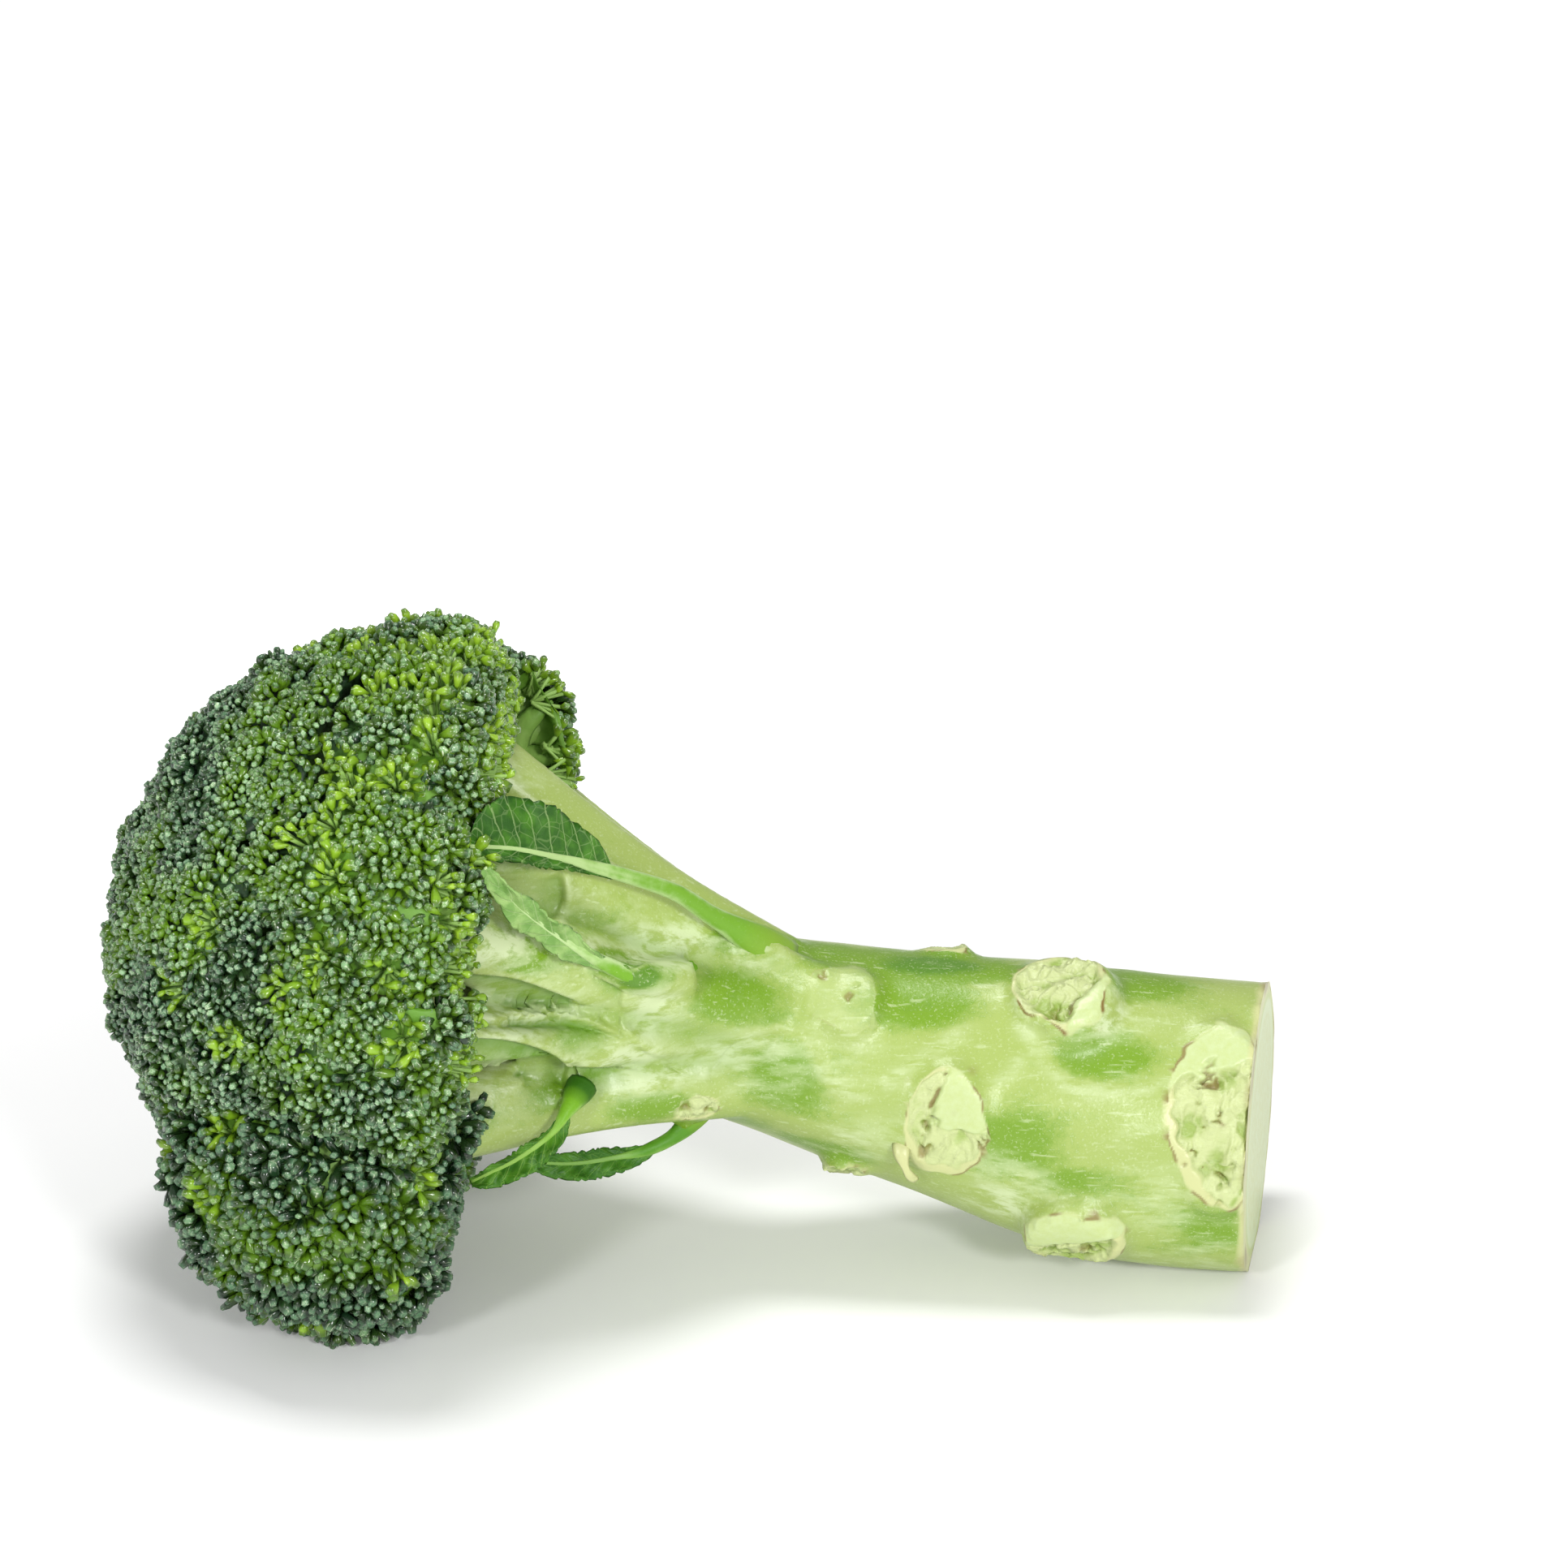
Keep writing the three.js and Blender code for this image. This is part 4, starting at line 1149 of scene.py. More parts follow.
class Core:
    """What lies below a floret's buds: a smaller dome, its underside, and the stems to the rim."""

    SIDES = 56
    RINGS = 32
    SINK = 1.9
    OPEN_SINK = 3.2
    STEM_SINK = 3.0
    OPEN_WIDTH = 3.4
    HOLLOW = 1.5
    NECK = 0.9
    LOWEST = 0.6
    STEMMED = 13.0
    STEM_WIDTHS = (1.3, 1.9)
    OPEN_PALER = 0.14
    BUD_STEM_OUTER = 0.35

    def __init__(self, coat: Coat) -> None:
        """Takes the coat whose clusters the stems reach."""
        self.floret = coat.floret
        self.coat = coat

    def _open(self, points: Array) -> Array:
        """How far into an open cluster points are, from 0 to 1."""
        distance = distances(points, self.coat.open_centres).min(axis=1, initial=np.inf)
        return np.exp(-((distance / self.OPEN_WIDTH) ** 2))

    def _dome(self) -> Shape:
        """The dome under the buds, closed below by a hollow cone down to the branch."""
        floret = self.floret
        half = self.RINGS // 2
        tangent = floret.branch_line().tangent(np.array([1.0]))[0]
        across = unit(floret.across - tangent * (floret.across @ tangent))
        along = np.cross(tangent, across)

        def place(angle: Array, ring: Array) -> Array:
            """Where the ball's points go on the core."""
            far = floret.furthest(angle)
            over = np.clip(ring / half, 0, 1)
            directions = floret.direction(far * over, angle)
            outer = floret.surface(directions)
            sink = self.SINK + self.OPEN_SINK * self._open(outer)
            outer = outer - floret.facing(directions) * sink[:, None]
            under = np.clip(ring / half - 1, 0, 1)[:, None]
            is_pole = (ring == self.RINGS)[:, None]
            width = np.where(is_pole, 0, floret.branch * self.NECK)
            neck = floret.foot + turned(angle, across, along) * width
            hollow = floret.outward * self.HOLLOW * np.sin(math.pi * under)
            return outer + (neck - outer) * under + hollow

        return drawn_ball(self.SIDES, self.RINGS, place)

    def _stems(self) -> list[Shape]:
        """Tapered stems from the branch to the clusters near the hem."""
        floret, random = self.floret, self.coat.random
        tangent = floret.branch_line().tangent(np.array([1.0]))[0]
        made = []
        for cluster in self.coat.clusters:
            direction = cluster.direction[None, :]
            end = floret.surface(direction)[0] - cluster.direction * self.STEM_SINK
            if floret.hem.depth(end[None, :])[0] > self.STEMMED:
                continue
            toward = end - floret.foot
            side = unit(toward - tangent * (toward @ tangent))
            start = floret.foot - tangent * 2 + side * floret.branch * 0.55
            bend = start + (end - start) * 0.5 + tangent * 1.5 + random.standard_normal(3) * 0.4
            thick = random.uniform(*self.STEM_WIDTHS)

            def radius(share: Array, angle: Array) -> Array:
                """The stem's radius, which narrows to its cluster."""
                return thick * (1.5 - 0.6 * share) * (1 - 0.8 * smooth_step(0.7, 1.0, share))

            made.append(tube(Line([start, bend, end]), 7, 7, radius))
        return made

    def mesh(self, bud_stems: Mesh) -> Mesh:
        """The core and all its stems as one mesh, in millimetres.

        Args:
            bud_stems: the stems of the open clusters' buds, which are used up.

        Returns:
            The mesh.
        """
        fine = bmesh.new()
        fine.from_mesh(bud_stems)
        mesh = joined([self._dome(), *self._stems(), fine], self.floret.name + "_core")
        count = len(bud_stems.vertices)
        bpy.data.meshes.remove(bud_stems)
        points = places_of(mesh)
        points[:, 2] = np.maximum(points[:, 2], self.LOWEST)
        move_to(mesh, points)
        reach = np.linalg.norm(points - self.floret.foot, axis=1)
        outer = np.clip(reach / (reach.max() * 0.9), 0, 1)
        # Under open clusters the painted shade on the core is lighter.
        outer = outer * (1 - self.OPEN_PALER * self._open(points))
        outer[len(points) - count :] = self.BUD_STEM_OUTER
        mark(mesh, "outer", outer)
        return mesh


# ---- Stalk ----
@dataclass(frozen=True)
class Station:
    """A station of the trunk: distance beyond the crown's middle, height and radius."""

    along: float
    height: float
    radius: float


@dataclass(frozen=True)
class Scar:
    """Where a leaf was taken off the stalk.

    along and around place it, wide and tall are half its size along and round the stalk, stands is
    how far it stands out, sweep how many degrees it leans to the crown, and dish how deep its
    torn tissue lies. healed gives the sides of the part that healed over: each is a direction in
    degrees, from the cut end's side and turning upwards, and how far out it begins. band is the
    direction on which its cream edge is widest, edged how brown that edge is, fresh how unlike
    the skin it looks, and holes are pits in it: how far along and up they lie, against the scar's
    half size, how wide and how deep.
    """

    along: float
    around: float
    wide: float
    tall: float
    stands: float
    sweep: float
    dish: float
    healed: tuple[tuple[float, float], ...] = ()
    band: float = 250.0
    edged: float = 0.8
    fresh: float = 1.0
    holes: tuple[tuple[float, float, float, float], ...] = ()


@dataclass(frozen=True)
class Fold:
    """A line along which the skin is creased, or a low ridge where depth is less than 0.

    Where reach is more than 0, the skin on the right of the line, as seen from outside and going
    along it, lies lower as far as reach, as where one branch laps over the next.
    """

    line: Sequence[Point]
    depth: float
    width: float
    reach: float = 0.0


@dataclass(frozen=True)
class Patch:
    """A soft-edged patch of skin, before the head's shift, with its half sizes."""

    middle: Point
    size: Point
    amount: float


def patch_rows(*rows: tuple[Point, Point, float]) -> list[Patch]:
    """Patches, each from its middle, half sizes and amount."""
    return [Patch(*row) for row in rows]


class Stalk:
    """The trunk, its branches and its scars, as one skin."""

    STATIONS = [
        Station(6, 55, 9), Station(18, 51.5, 13.5), Station(30, 48, 15.6),
        Station(43, 44.6, 16.2), Station(58, 40.3, 17.2), Station(72, 36.6, 19.2),
        Station(86, 33.4, 21), Station(100, 30.2, 23.4), Station(114, 26.8, 24.9),
        Station(128, 24.9, 25.1), Station(151, 23.2, 25),
    ]
    SCARS = [
        Scar(69, 52, 6, 6.6, 0.9, 20, 0.4, ((0, -2),), edged=0.15, fresh=0.35,
             holes=((-0.55, 0.55, 0.10, 0.5), (0.25, 0.05, 0.10, 0.4))),
        Scar(46, -27, 3.2, 3, 4, 25, 1.1, holes=((-0.5, 0, 0.3, 1.0), (0.4, -0.3, 0.2, 0.8))),
        Scar(86, -2, 7.4, 10.2, 1, 12, 1.5, ((85, -0.11), (-27, -0.42)), band=240,
             holes=((-0.36, 0.04, 0.13, 1.8), (-0.55, -0.55, 0.12, 0.9), (0.9, -0.2, 0.1, 1))),
        Scar(70, -57, 4, 3.6, 2.4, 30, 1.1, holes=((-0.4, 0.2, 0.25, 1.0), (0.3, -0.4, 0.2, 1.0))),
        Scar(107, 70, 8.8, 9.4, 3.2, 22, 2.0, ((-42, 0.56),), band=-45, edged=1.0,
             holes=((-0.2, -0.72, 0.12, 1.2),)),
        Scar(132, 25, 8.8, 16, 0.5, 4, 1.7, ((100, 0.42),), band=200,
             holes=((-0.02, -0.05, 0.10, 1.0), (-0.27, 0.36, 0.12, 1.2), (0.02, -0.72, 0.16, 2.0),
                    (-0.5, -0.4, 0.08, 0.8))),
        Scar(109, -38, 9, 9, 4.0, 18, 1.9, ((110, 0.08),), band=20,
             holes=((0.35, -0.4, 0.15, 1.2), (-0.3, -0.3, 0.12, 1.2))),
        Scar(87, 106, 4.2, 4, 1.6, 24, 0.9),
        Scar(100, 172, 7, 9, 1.2, 15, 1.6, ((60, 0.1),)),
    ]
    FOLDS = [
        Fold([(-19.5, -23.3, 79), (-19.0, -24, 76), (-19.3, -23.8, 73), (-21, -24, 70.5)],
             1.3, 0.5, 5),
        Fold([(-38, -43, 65.5), (-33.5, -40.4, 65.0), (-27.9, -37.7, 64.0), (-24, -35.4, 62.2),
              (-17.3, -30.6, 57.4), (-13.2, -28.1, 53.8), (-9, -26, 50)], 2.2, 0.6, 5.5),
        Fold([(-38, -44, 57), (-32.2, -41.3, 56.4), (-27.2, -37.6, 54.5), (-22.6, -33.7, 51.5),
              (-18.2, -27, 47.2), (-12.5, -22.6, 44.9), (-6, -21.9, 43.0)], 2.2, 0.6, 6),
        Fold([(-18.2, -27, 46.9), (-19.1, -25.3, 44.3), (-19.4, -26.9, 42)], 0.7, 0.5, 2.5),
        Fold([(-14.5, -29.2, 63.8), (-11.5, -27.2, 62.2), (-9.7, -26.9, 59.7), (-9.4, -27.6, 56.9),
              (-9.2, -26.1, 52.7), (-8, -25.4, 49.6)], 0.6, 0.45, 3),
        Fold([(-9.5, -26.5, 53.5), (-7, -24.6, 48.8), (-3.6, -20.2, 44.1), (1, -20.2, 41.2),
              (3.1, -19.2, 38.1)], 0.3, 0.5, 2),
        Fold([(5.1, -18.7, 38.6), (5.1, -18.9, 41.2), (6.4, -17.5, 43), (9.6, -18.3, 45.9),
              (13.7, -17.7, 47.4), (19.2, -15.6, 47.7)], 0.4, 0.5, 3),
        Fold([(20.5, -15.2, 49.5), (22.1, -16.1, 46.7), (23.3, -17.3, 43.2), (24.9, -18, 39.7),
              (28.2, -18.6, 37.8), (33.1, -19, 37.0)], -0.35, 1.3),
        Fold([(33.1, -19, 37.8), (35.4, -18.7, 40.1), (37.8, -18.2, 42), (41.9, -17.4, 44.5),
              (45.6, -16.4, 46.9), (50, -15, 48.5)], -0.4, 1.3),
        Fold([(58, -8.9, 52.9), (57.6, -12.8, 50.3), (58, -15.8, 47.8), (61.7, -19, 43.5),
              (66, -20.5, 39.5), (76, -20.5, 38)], -0.4, 1.4),
        Fold([(51, -19.5, 38.0), (55, -19, 41), (58, -18, 45)], -0.3, 1.2),
    ]
    # Greener patches of the skin. Most are its own colour, but some round the fork, in its hollows
    # and under a branch's edge, are painted shade.
    GREENER = patch_rows(
        ((9, -17.7, 54.2), (9.5, 6, 5.0), 0.9), ((-16.6, -30.8, 53), (3.2, 4, 1.9), 0.9),
        ((-15.2, -24.7, 42.9), (2.6, 4, 2.4), 0.6), ((-5.4, -21.7, 36.6), (8, 6, 2.6), 0.9),
        ((-29, -30, 50.5), (10, 12, 3.0), 0.8), ((-24, -33, 67), (8, 8, 2.2), 0.8),
        ((-30, -38, 64.5), (9, 8, 1.6), 0.7), ((-12, -25, 70), (9, 8, 3.0), 0.4),
        ((-36, -36, 39), (9, 6, 3.2), 0.5), ((17.9, -17.5, 39.5), (8.5, 6, 6.0), 0.85),
        ((-25.9, -31.5, 71.2), (9, 8, 4.6), 0.7), ((40.5, -12, 51.7), (10.5, 6, 4.2), 0.95),
        ((14.8, -16.4, 49.8), (6, 6, 2.4), 0.5), ((71.0, -17.5, 44.6), (8.5, 6, 4.4), 0.95),
        ((57.7, -22.3, 29.6), (8.5, 6, 6.0), 0.95), ((57, -20.5, 36), (6, 6, 4.0), 0.4),
        ((63.9, -23.2, 24.0), (9, 6, 3.0), 0.6), ((79.5, -3.1, 52.7), (13, 8, 2.6), 1.2),
        ((90.3, -23.7, 14), (8, 6, 6.0), 0.9), ((24.4, -13.2, 25), (10, 6, 3.6), 0.8),
        ((-24, -30, 84), (10, 10, 4.0), 0.8), ((28, -2, 57.5), (10, 7, 2.4), 1.5),
        ((44, -3, 55.3), (14, 7, 2.2), 1.9), ((8, -8, 62.5), (6, 6, 2.2), 1.2),
        ((3, -12, 29.5), (12, 6, 3.0), 0.8), ((-10, -29.6, 65.0), (4.0, 5, 2.2), 2.2),
        ((-6.6, -27.4, 62.0), (5.0, 5, 2.4), 2.2), ((-19, -27, 41), (6, 6, 2.4), 0.9),
    )
    BLOOMED = patch_rows(
        ((-2.5, -17.7, 64), (12, 8, 3.0), 1.8), ((-5.1, -25.4, 54.6), (4.0, 6, 6.0), 1.6),
        ((-24, -34.5, 57), (12, 9, 3.0), 1.8), ((-10, -24.0, 46.0), (8, 7, 3.2), 1.6),
        ((-6, -22.2, 41.8), (10, 7, 2.8), 1.6), ((-31, -37, 71), (10, 8, 3.2), 1.4),
        ((-28, -36, 60), (14, 9, 3.4), 1.4), ((-30, -32, 50), (8, 9, 3.0), 0.8),
        ((9, -18, 45), (13, 8, 3.2), 1.0), ((72.2, -14.9, 48.5), (8, 6, 2.4), 0.9),
        ((80.5, -20, 20.8), (9, 8, 5.0), 0.7), ((53.9, -19.3, 17.9), (7, 7, 3.4), 0.8),
        ((33, -19, 30), (8, 6, 4.0), 0.5), ((-32, -30, 62), (14, 14, 20), 0.7),
        ((-20, -26, 66), (10, 8, 3.0), 0.8),
    )
    FLAP = [(37.2, -19.6, 29.0), (37.4, -21.0, 26.6), (38.4, -21.0, 23.8), (39.8, -19.6, 21.8)]
    CUT_TURN = math.radians(12.5)
    CUT_ALONG = 141.9
    VOXEL = 1.25
    SMOOTHING = 4
    STUB_DEPTH = 5.0
    FOLD_RANGE = 9.0
    FOLD_THICKNESS = 5.0
    SCAR_THICKNESS = 6.0
    AWAY = 99.0
    FAR_PATCHES = 34
    VALLEY_REACH = 26.0
    VALLEY_WIDTH = 2.2

    def trunk_line(self) -> Line:
        """The middle of the trunk."""
        return Line([self._middle(s.along, s.height) for s in self.STATIONS])

    @staticmethod
    def _middle(along: float, height: float) -> Array:
        """The trunk's middle at a distance beyond the crown's middle."""
        return np.array([CROWN_CENTRE[0] + along, HEAD_SHIFT[1], height])

    def trunk_at(self, along: Array) -> tuple[Array, Array]:
        """The height of the trunk's middle, and its radius, at distances along it."""
        stations = np.array([(s.along, s.height, s.radius) for s in self.STATIONS]).T
        height, radius = (np.interp(along, stations[0], row) for row in stations[1:])
        return height, radius

    def _spot(self, along: float, around: float) -> tuple[Array, float, Array, Array]:
        """A place on the trunk.

        Args:
            along: its distance beyond the crown's middle.
            around: degrees round the trunk, 0 to the front and 90 up.

        Returns:
            The trunk's middle and its radius there, and the directions outwards and round it.
        """
        height, radius = (float(v) for v in self.trunk_at(along))
        turn = math.radians(around)
        out = np.array([0.0, -math.cos(turn), math.sin(turn)])
        upwards = np.array([0.0, math.sin(turn), math.cos(turn)])
        return self._middle(along, height), radius, out, upwards

    def _trunk(self) -> Shape:
        """The trunk, a little uneven."""
        line = self.trunk_line()

        def radius(share: Array, angle: Array) -> Array:
            """The trunk's uneven radius."""
            along = line.at(share)[:, 0] - CROWN_CENTRE[0]
            swell = 1 + 0.028 * np.cos(3 * angle + 4 * share + 0.6)
            return self.trunk_at(along)[1] * (swell + 0.018 * np.cos(5 * angle - 6 * share + 2))

        return tube(line, 40, 48, radius)

    @staticmethod
    def _branch(floret: Floret) -> Shape:
        """The branch that carries a floret."""
        line = floret.branch_line()

        def radius(share: Array, angle: Array) -> Array:
            """The branch's radius, least before its end."""
            ribs = 1 + 0.06 * np.cos(4 * angle + 3 * share + floret.around)
            return floret.branch * (1.2 - 0.5 * share + 0.3 * share**2) * ribs

        return tube(line, 14, 20, radius)

    def _local(self, scar: Scar, points: Array) -> tuple[Array, Array, Array]:
        """Points as seen from a scar: along and round the stalk, and out from its face."""
        middle, radius, out, upwards = self._spot(scar.along, scar.around)
        offset = points - (middle + out * radius)
        rise = offset @ out
        lean = math.tan(math.radians(scar.sweep))
        return offset[:, 0] + rise * lean, offset @ upwards, rise

    def _stub(self, scar: Scar) -> Shape:
        """The stub that a leaf left, standing out of the trunk."""
        middle, radius, out, upwards = self._spot(scar.along, scar.around)
        lean = math.tan(math.radians(scar.sweep))
        levels = np.array([-self.STUB_DEPTH] * 2 + [scar.stands * 0.6] + [scar.stands] * 3)
        sizes = np.array([0.0, 1.2, 1.02, 0.92, 0.5, 0.0])

        def place(angle: Array, ring: Array) -> Array:
            """Where the ball's points go on the stub."""
            level, size = levels[ring.astype(int)], sizes[ring.astype(int)]
            x = np.cos(angle) * scar.wide * size
            t = np.sin(angle) * scar.tall * size
            rise = level + 0.12 * x - t * t / (2.4 * radius)
            point = middle + out * (radius + rise)[:, None]
            point = point + np.array([1.0, 0, 0]) * (x - level * lean)[:, None]
            return point + upwards * t[:, None]

        return drawn_ball(28, 5, place)

    def _flap(self) -> Shape:
        """A strip of skin that hangs off the scar in the middle of the front."""
        line = shifted_line(self.FLAP)

        def radius(share: Array, angle: Array) -> Array:
            """The strip's flat section, which narrows to its end."""
            width = 1.5 - 1.0 * share + 0.25 * np.sin(9 * share)
            return width / np.hypot(np.cos(angle), np.sin(angle) / 0.3)

        return tube(line, 14, 16, radius)

    def _skin(self) -> Mesh:
        """Everything grown together into one even skin."""
        shapes = [self._trunk()]
        shapes += [self._branch(floret) for floret in FLORETS]
        shapes += [self._stub(scar) for scar in self.SCARS]
        shapes += [leaf.root() for leaf in LEAVES]
        rough = placed("rough", joined(shapes, "rough"))
        remesh = rough.modifiers.new("even", "REMESH")
        remesh.mode = "VOXEL"
        remesh.voxel_size = self.VOXEL
        soften = rough.modifiers.new("soften", "SMOOTH")
        soften.factor = 0.5
        soften.iterations = self.SMOOTHING
        bpy.context.view_layer.update()
        seen = rough.evaluated_get(bpy.context.evaluated_depsgraph_get())
        mesh = bpy.data.meshes.new_from_object(seen)
        bpy.data.objects.remove(rough)
        return mesh

    def _from_fold(
        self, fold: Fold, points: Array, normals: Array
    ) -> tuple[Array, Array, Array]:
        """How a fold shapes the skin round it.

        Args:
            fold: the fold.
            points: the skin's points.
            normals: the way it faces there.

        Returns:
            How far points lie from the line, over the skin. How far they lie to its right. And
            how strong the fold is there, from 0 to 1.
        """
        line = shifted_line(fold.line)
        steps = line.at(np.linspace(0, 1, 20))
        far = np.full(len(points), self.AWAY)
        aside = np.full(len(points), -self.AWAY)
        strength = np.zeros(len(points))
        low, high = steps.min(axis=0) - self.FOLD_RANGE, steps.max(axis=0) + self.FOLD_RANGE
        near = np.all((points > low) & (points < high), axis=1)
        place, share = nearest_on(steps, points[near])
        offset = points[near] - place
        out = np.sum(offset * normals[near], axis=1)
        flat = np.sqrt(np.maximum(np.sum(offset**2, axis=1) - out**2, 0))
        is_near = np.abs(out) < self.FOLD_THICKNESS
        far[near] = np.where(is_near, flat, self.AWAY)
        right = unit(np.cross(line.tangent(share), normals[near]))
        aside[near] = np.where(is_near, np.sum(offset * right, axis=1), -self.AWAY)
        ends = smooth_step(0, 0.2, share + 0.04) * smooth_step(1, 0.8, share - 0.04)
        strength[near] = ends * (flat < fold.reach * 2.2 + 6 * fold.width)
        return far, aside, strength

    def _refine(self, mesh: Mesh) -> None:
        """Splits the faces on and around the folds and the scars twice."""
        shape = bmesh.new()
        shape.from_mesh(mesh)
        for is_first in (True, False):
            shape.verts.ensure_lookup_table()
            shape.normal_update()
            points = np.array([vert.co for vert in shape.verts])
            normals = np.array([vert.normal for vert in shape.verts])
            near = np.zeros(len(points), bool)
            for scar in self.SCARS:
                along, upwards, rise = self._local(scar, points)
                ring = np.hypot(along / scar.wide, upwards / scar.tall)
                near |= (ring < 1.10) & (np.abs(rise) < self.SCAR_THICKNESS)
            for fold in self.FOLDS:
                reach = (3.2 if is_first else 2.4) * fold.width + (0.9 if is_first else 0.1)
                near |= self._from_fold(fold, points, normals)[0] < (reach if fold.reach else 0)
            edges = [e for e in shape.edges if near[e.verts[0].index] and near[e.verts[1].index]]
            bmesh.ops.subdivide_edges(shape, edges=edges, cuts=1, use_grid_fill=True, smooth=0.0)
        bmesh.ops.triangulate(shape, faces=[f for f in shape.faces if len(f.verts) > 4])
        shape.to_mesh(mesh)
        shape.free()

    def _between_branches(self, points: Array) -> Array:
        """How near points are to the valley between two of the rim's branches, from 0 to 1."""
        valley = np.zeros(len(points))
        near = points[:, 0] < FORK[0] + self.VALLEY_REACH
        gaps = []
        for floret in FLORETS:
            if floret.is_rim:
                line = floret.branch_line()
                back = [line.points[0] - AXIS * self.VALLEY_REACH * share for share in (1, 0.5)]
                longer = Line(np.vstack([*back, line.at(np.linspace(0, 1, 10))]))
                place, _ = nearest_on(longer.at(np.linspace(0, 1, 16)), points[near])
                gaps.append(np.linalg.norm(points[near] - place, axis=1) - floret.branch)
        gaps = np.sort(np.array(gaps), axis=0)
        valley[near] = np.exp(-(((gaps[1] - gaps[0]) / self.VALLEY_WIDTH) ** 2))
        valley[near] *= smooth_step(8, 3, gaps[0])
        return valley * smooth_step(self.VALLEY_REACH, -4, points[:, 0] - FORK[0])

    def _far_side(self) -> list[Patch]:
        """The greener patches of the far side, some of which run into each other."""
        random = np.random.default_rng(31)
        made = []
        for number in range(self.FAR_PATCHES):
            along = 54 + 82 * ((number * 0.618) % 1)
            around = 105 + 160 * ((number * 0.755) % 1) + random.uniform(-12, 12)
            middle, radius, out, _ = self._spot(along, around)
            wide = random.uniform(3.0, 7.5)
            size = (wide * random.uniform(1.0, 2.4), wide, wide)
            place = tuple(middle + out * radius - HEAD_SHIFT)
            made.append(Patch(place, size, random.uniform(0.25, 1.0)))
        return made

    @staticmethod
    def _patched(patches: Sequence[Patch], points: Array) -> Array:
        """The strongest of some patches at points."""
        most = np.zeros(len(points))
        for patch in patches:
            offset = (points - np.array(patch.middle) - HEAD_SHIFT) / np.array(patch.size)
            most = np.maximum(most, patch.amount * np.exp(-np.sum(offset**2, axis=1)))
        return most

    def _tear(self, points: Array, normals: Array, marks: dict[str, Array]) -> Array:
        """Tears the scars open, and notes which tissue is where.

        Args:
            points: the skin's points.
            normals: the way it faces there.
            marks: what is noted, by name. The scars are added to it.

        Returns:
            The points after the tears.
        """
        points = points.copy()
        for scar in self.SCARS:
            along, upwards, rise = self._local(scar, points)
            u, v = along / scar.wide, upwards / scar.tall
            near = (np.hypot(u, v) < 1.2) & (np.abs(rise) < self.SCAR_THICKNESS + 1)
            u, v = u[near], v[near]
            spots = points[near]
            angle = np.arctan2(v, u)
            uneven = ragged(spots, 3.2)
            ring = np.hypot(u, v) * (1 + 0.05 * np.cos(3 * angle + scar.along) + 0.05 * uneven)
            here = smooth_step(1.0, 0.95, ring)
            beyond = np.full(len(u), 9.0 if scar.healed else -9.0)
            for degrees, begins in scar.healed:
                turn = math.radians(degrees)
                out = math.cos(turn) * u + math.sin(turn) * v
                beyond = np.minimum(beyond, out - begins + 0.08 * uneven)
            healed = here * smooth_step(-0.03, 0.04, beyond)
            wide = 0.07 + 0.17 * np.clip(np.cos(angle - math.radians(scar.band)), 0, 1)
            border = here * smooth_step(-0.03, 0.03, ring + 0.06 * uneven - 1 + wide) * (1 - healed)
            torn = here * (1 - healed) * (1 - 0.85 * border)
            lumps = np.clip(0.5 + 0.8 * ragged(spots * np.array([1, 1, 0.6]), 4.6), 0, 1)
            drawn = spots * np.array([1, 1, 0.3]) + ragged(spots, 3.0)[:, None] * 0.6
            fibres = np.clip(1 - 1.6 * np.abs(ragged(drawn, 2.0)), 0, 1)
            relief = 0.25 + 0.75 * lumps - 0.30 * fibres**2
            depth = scar.dish * smooth_step(1.0, 0.70, ring) * relief
            crack = np.exp(-((beyond / 0.06) ** 2)) * here * smooth_step(-0.2, 0.4, uneven)
            crack = crack * smooth_step(1.02, 0.85, ring) * (1 - border)
            sunk = depth * torn + 0.8 * crack
            pitted = np.zeros(len(u))
            bent = 0.16 * ragged(spots + 9, 1.6)
            for hole_u, hole_v, size, deep in scar.holes:
                far = np.hypot(u - hole_u + bent, (v - hole_v + bent) * scar.tall / scar.wide * 0.6)
                pit = np.exp(-((far / size) ** 2)) * here
                sunk = sunk + deep * pit
                pitted = np.maximum(pitted, pit)
            points[near] = spots - normals[near] * sunk[:, None]
            line = smooth_step(0.95, 0.97, ring) * smooth_step(1.01, 0.985, ring) * scar.edged
            line = line * smooth_step(0.0, 0.5, ragged(spots, 5.0))
            browned = np.maximum(line, 0.6 * smooth_step(0.35, 0.9, pitted + 0.35 * uneven))
            browned = np.maximum(browned, 0.8 * smooth_step(0.45, 0.9, crack))
            found = {
                "pith": torn,
                "border": border * scar.fresh,
                "sealed": healed * scar.fresh,
                # How deep the torn tissue lies, for the painted shade of its hollows.
                "deep": torn * np.clip(0.9 * lumps - 0.3 * fibres + pitted, 0, 1),
                "rim": browned,
            }
            for name, values in found.items():
                marks[name][near] = np.maximum(marks[name][near], values)
        return points

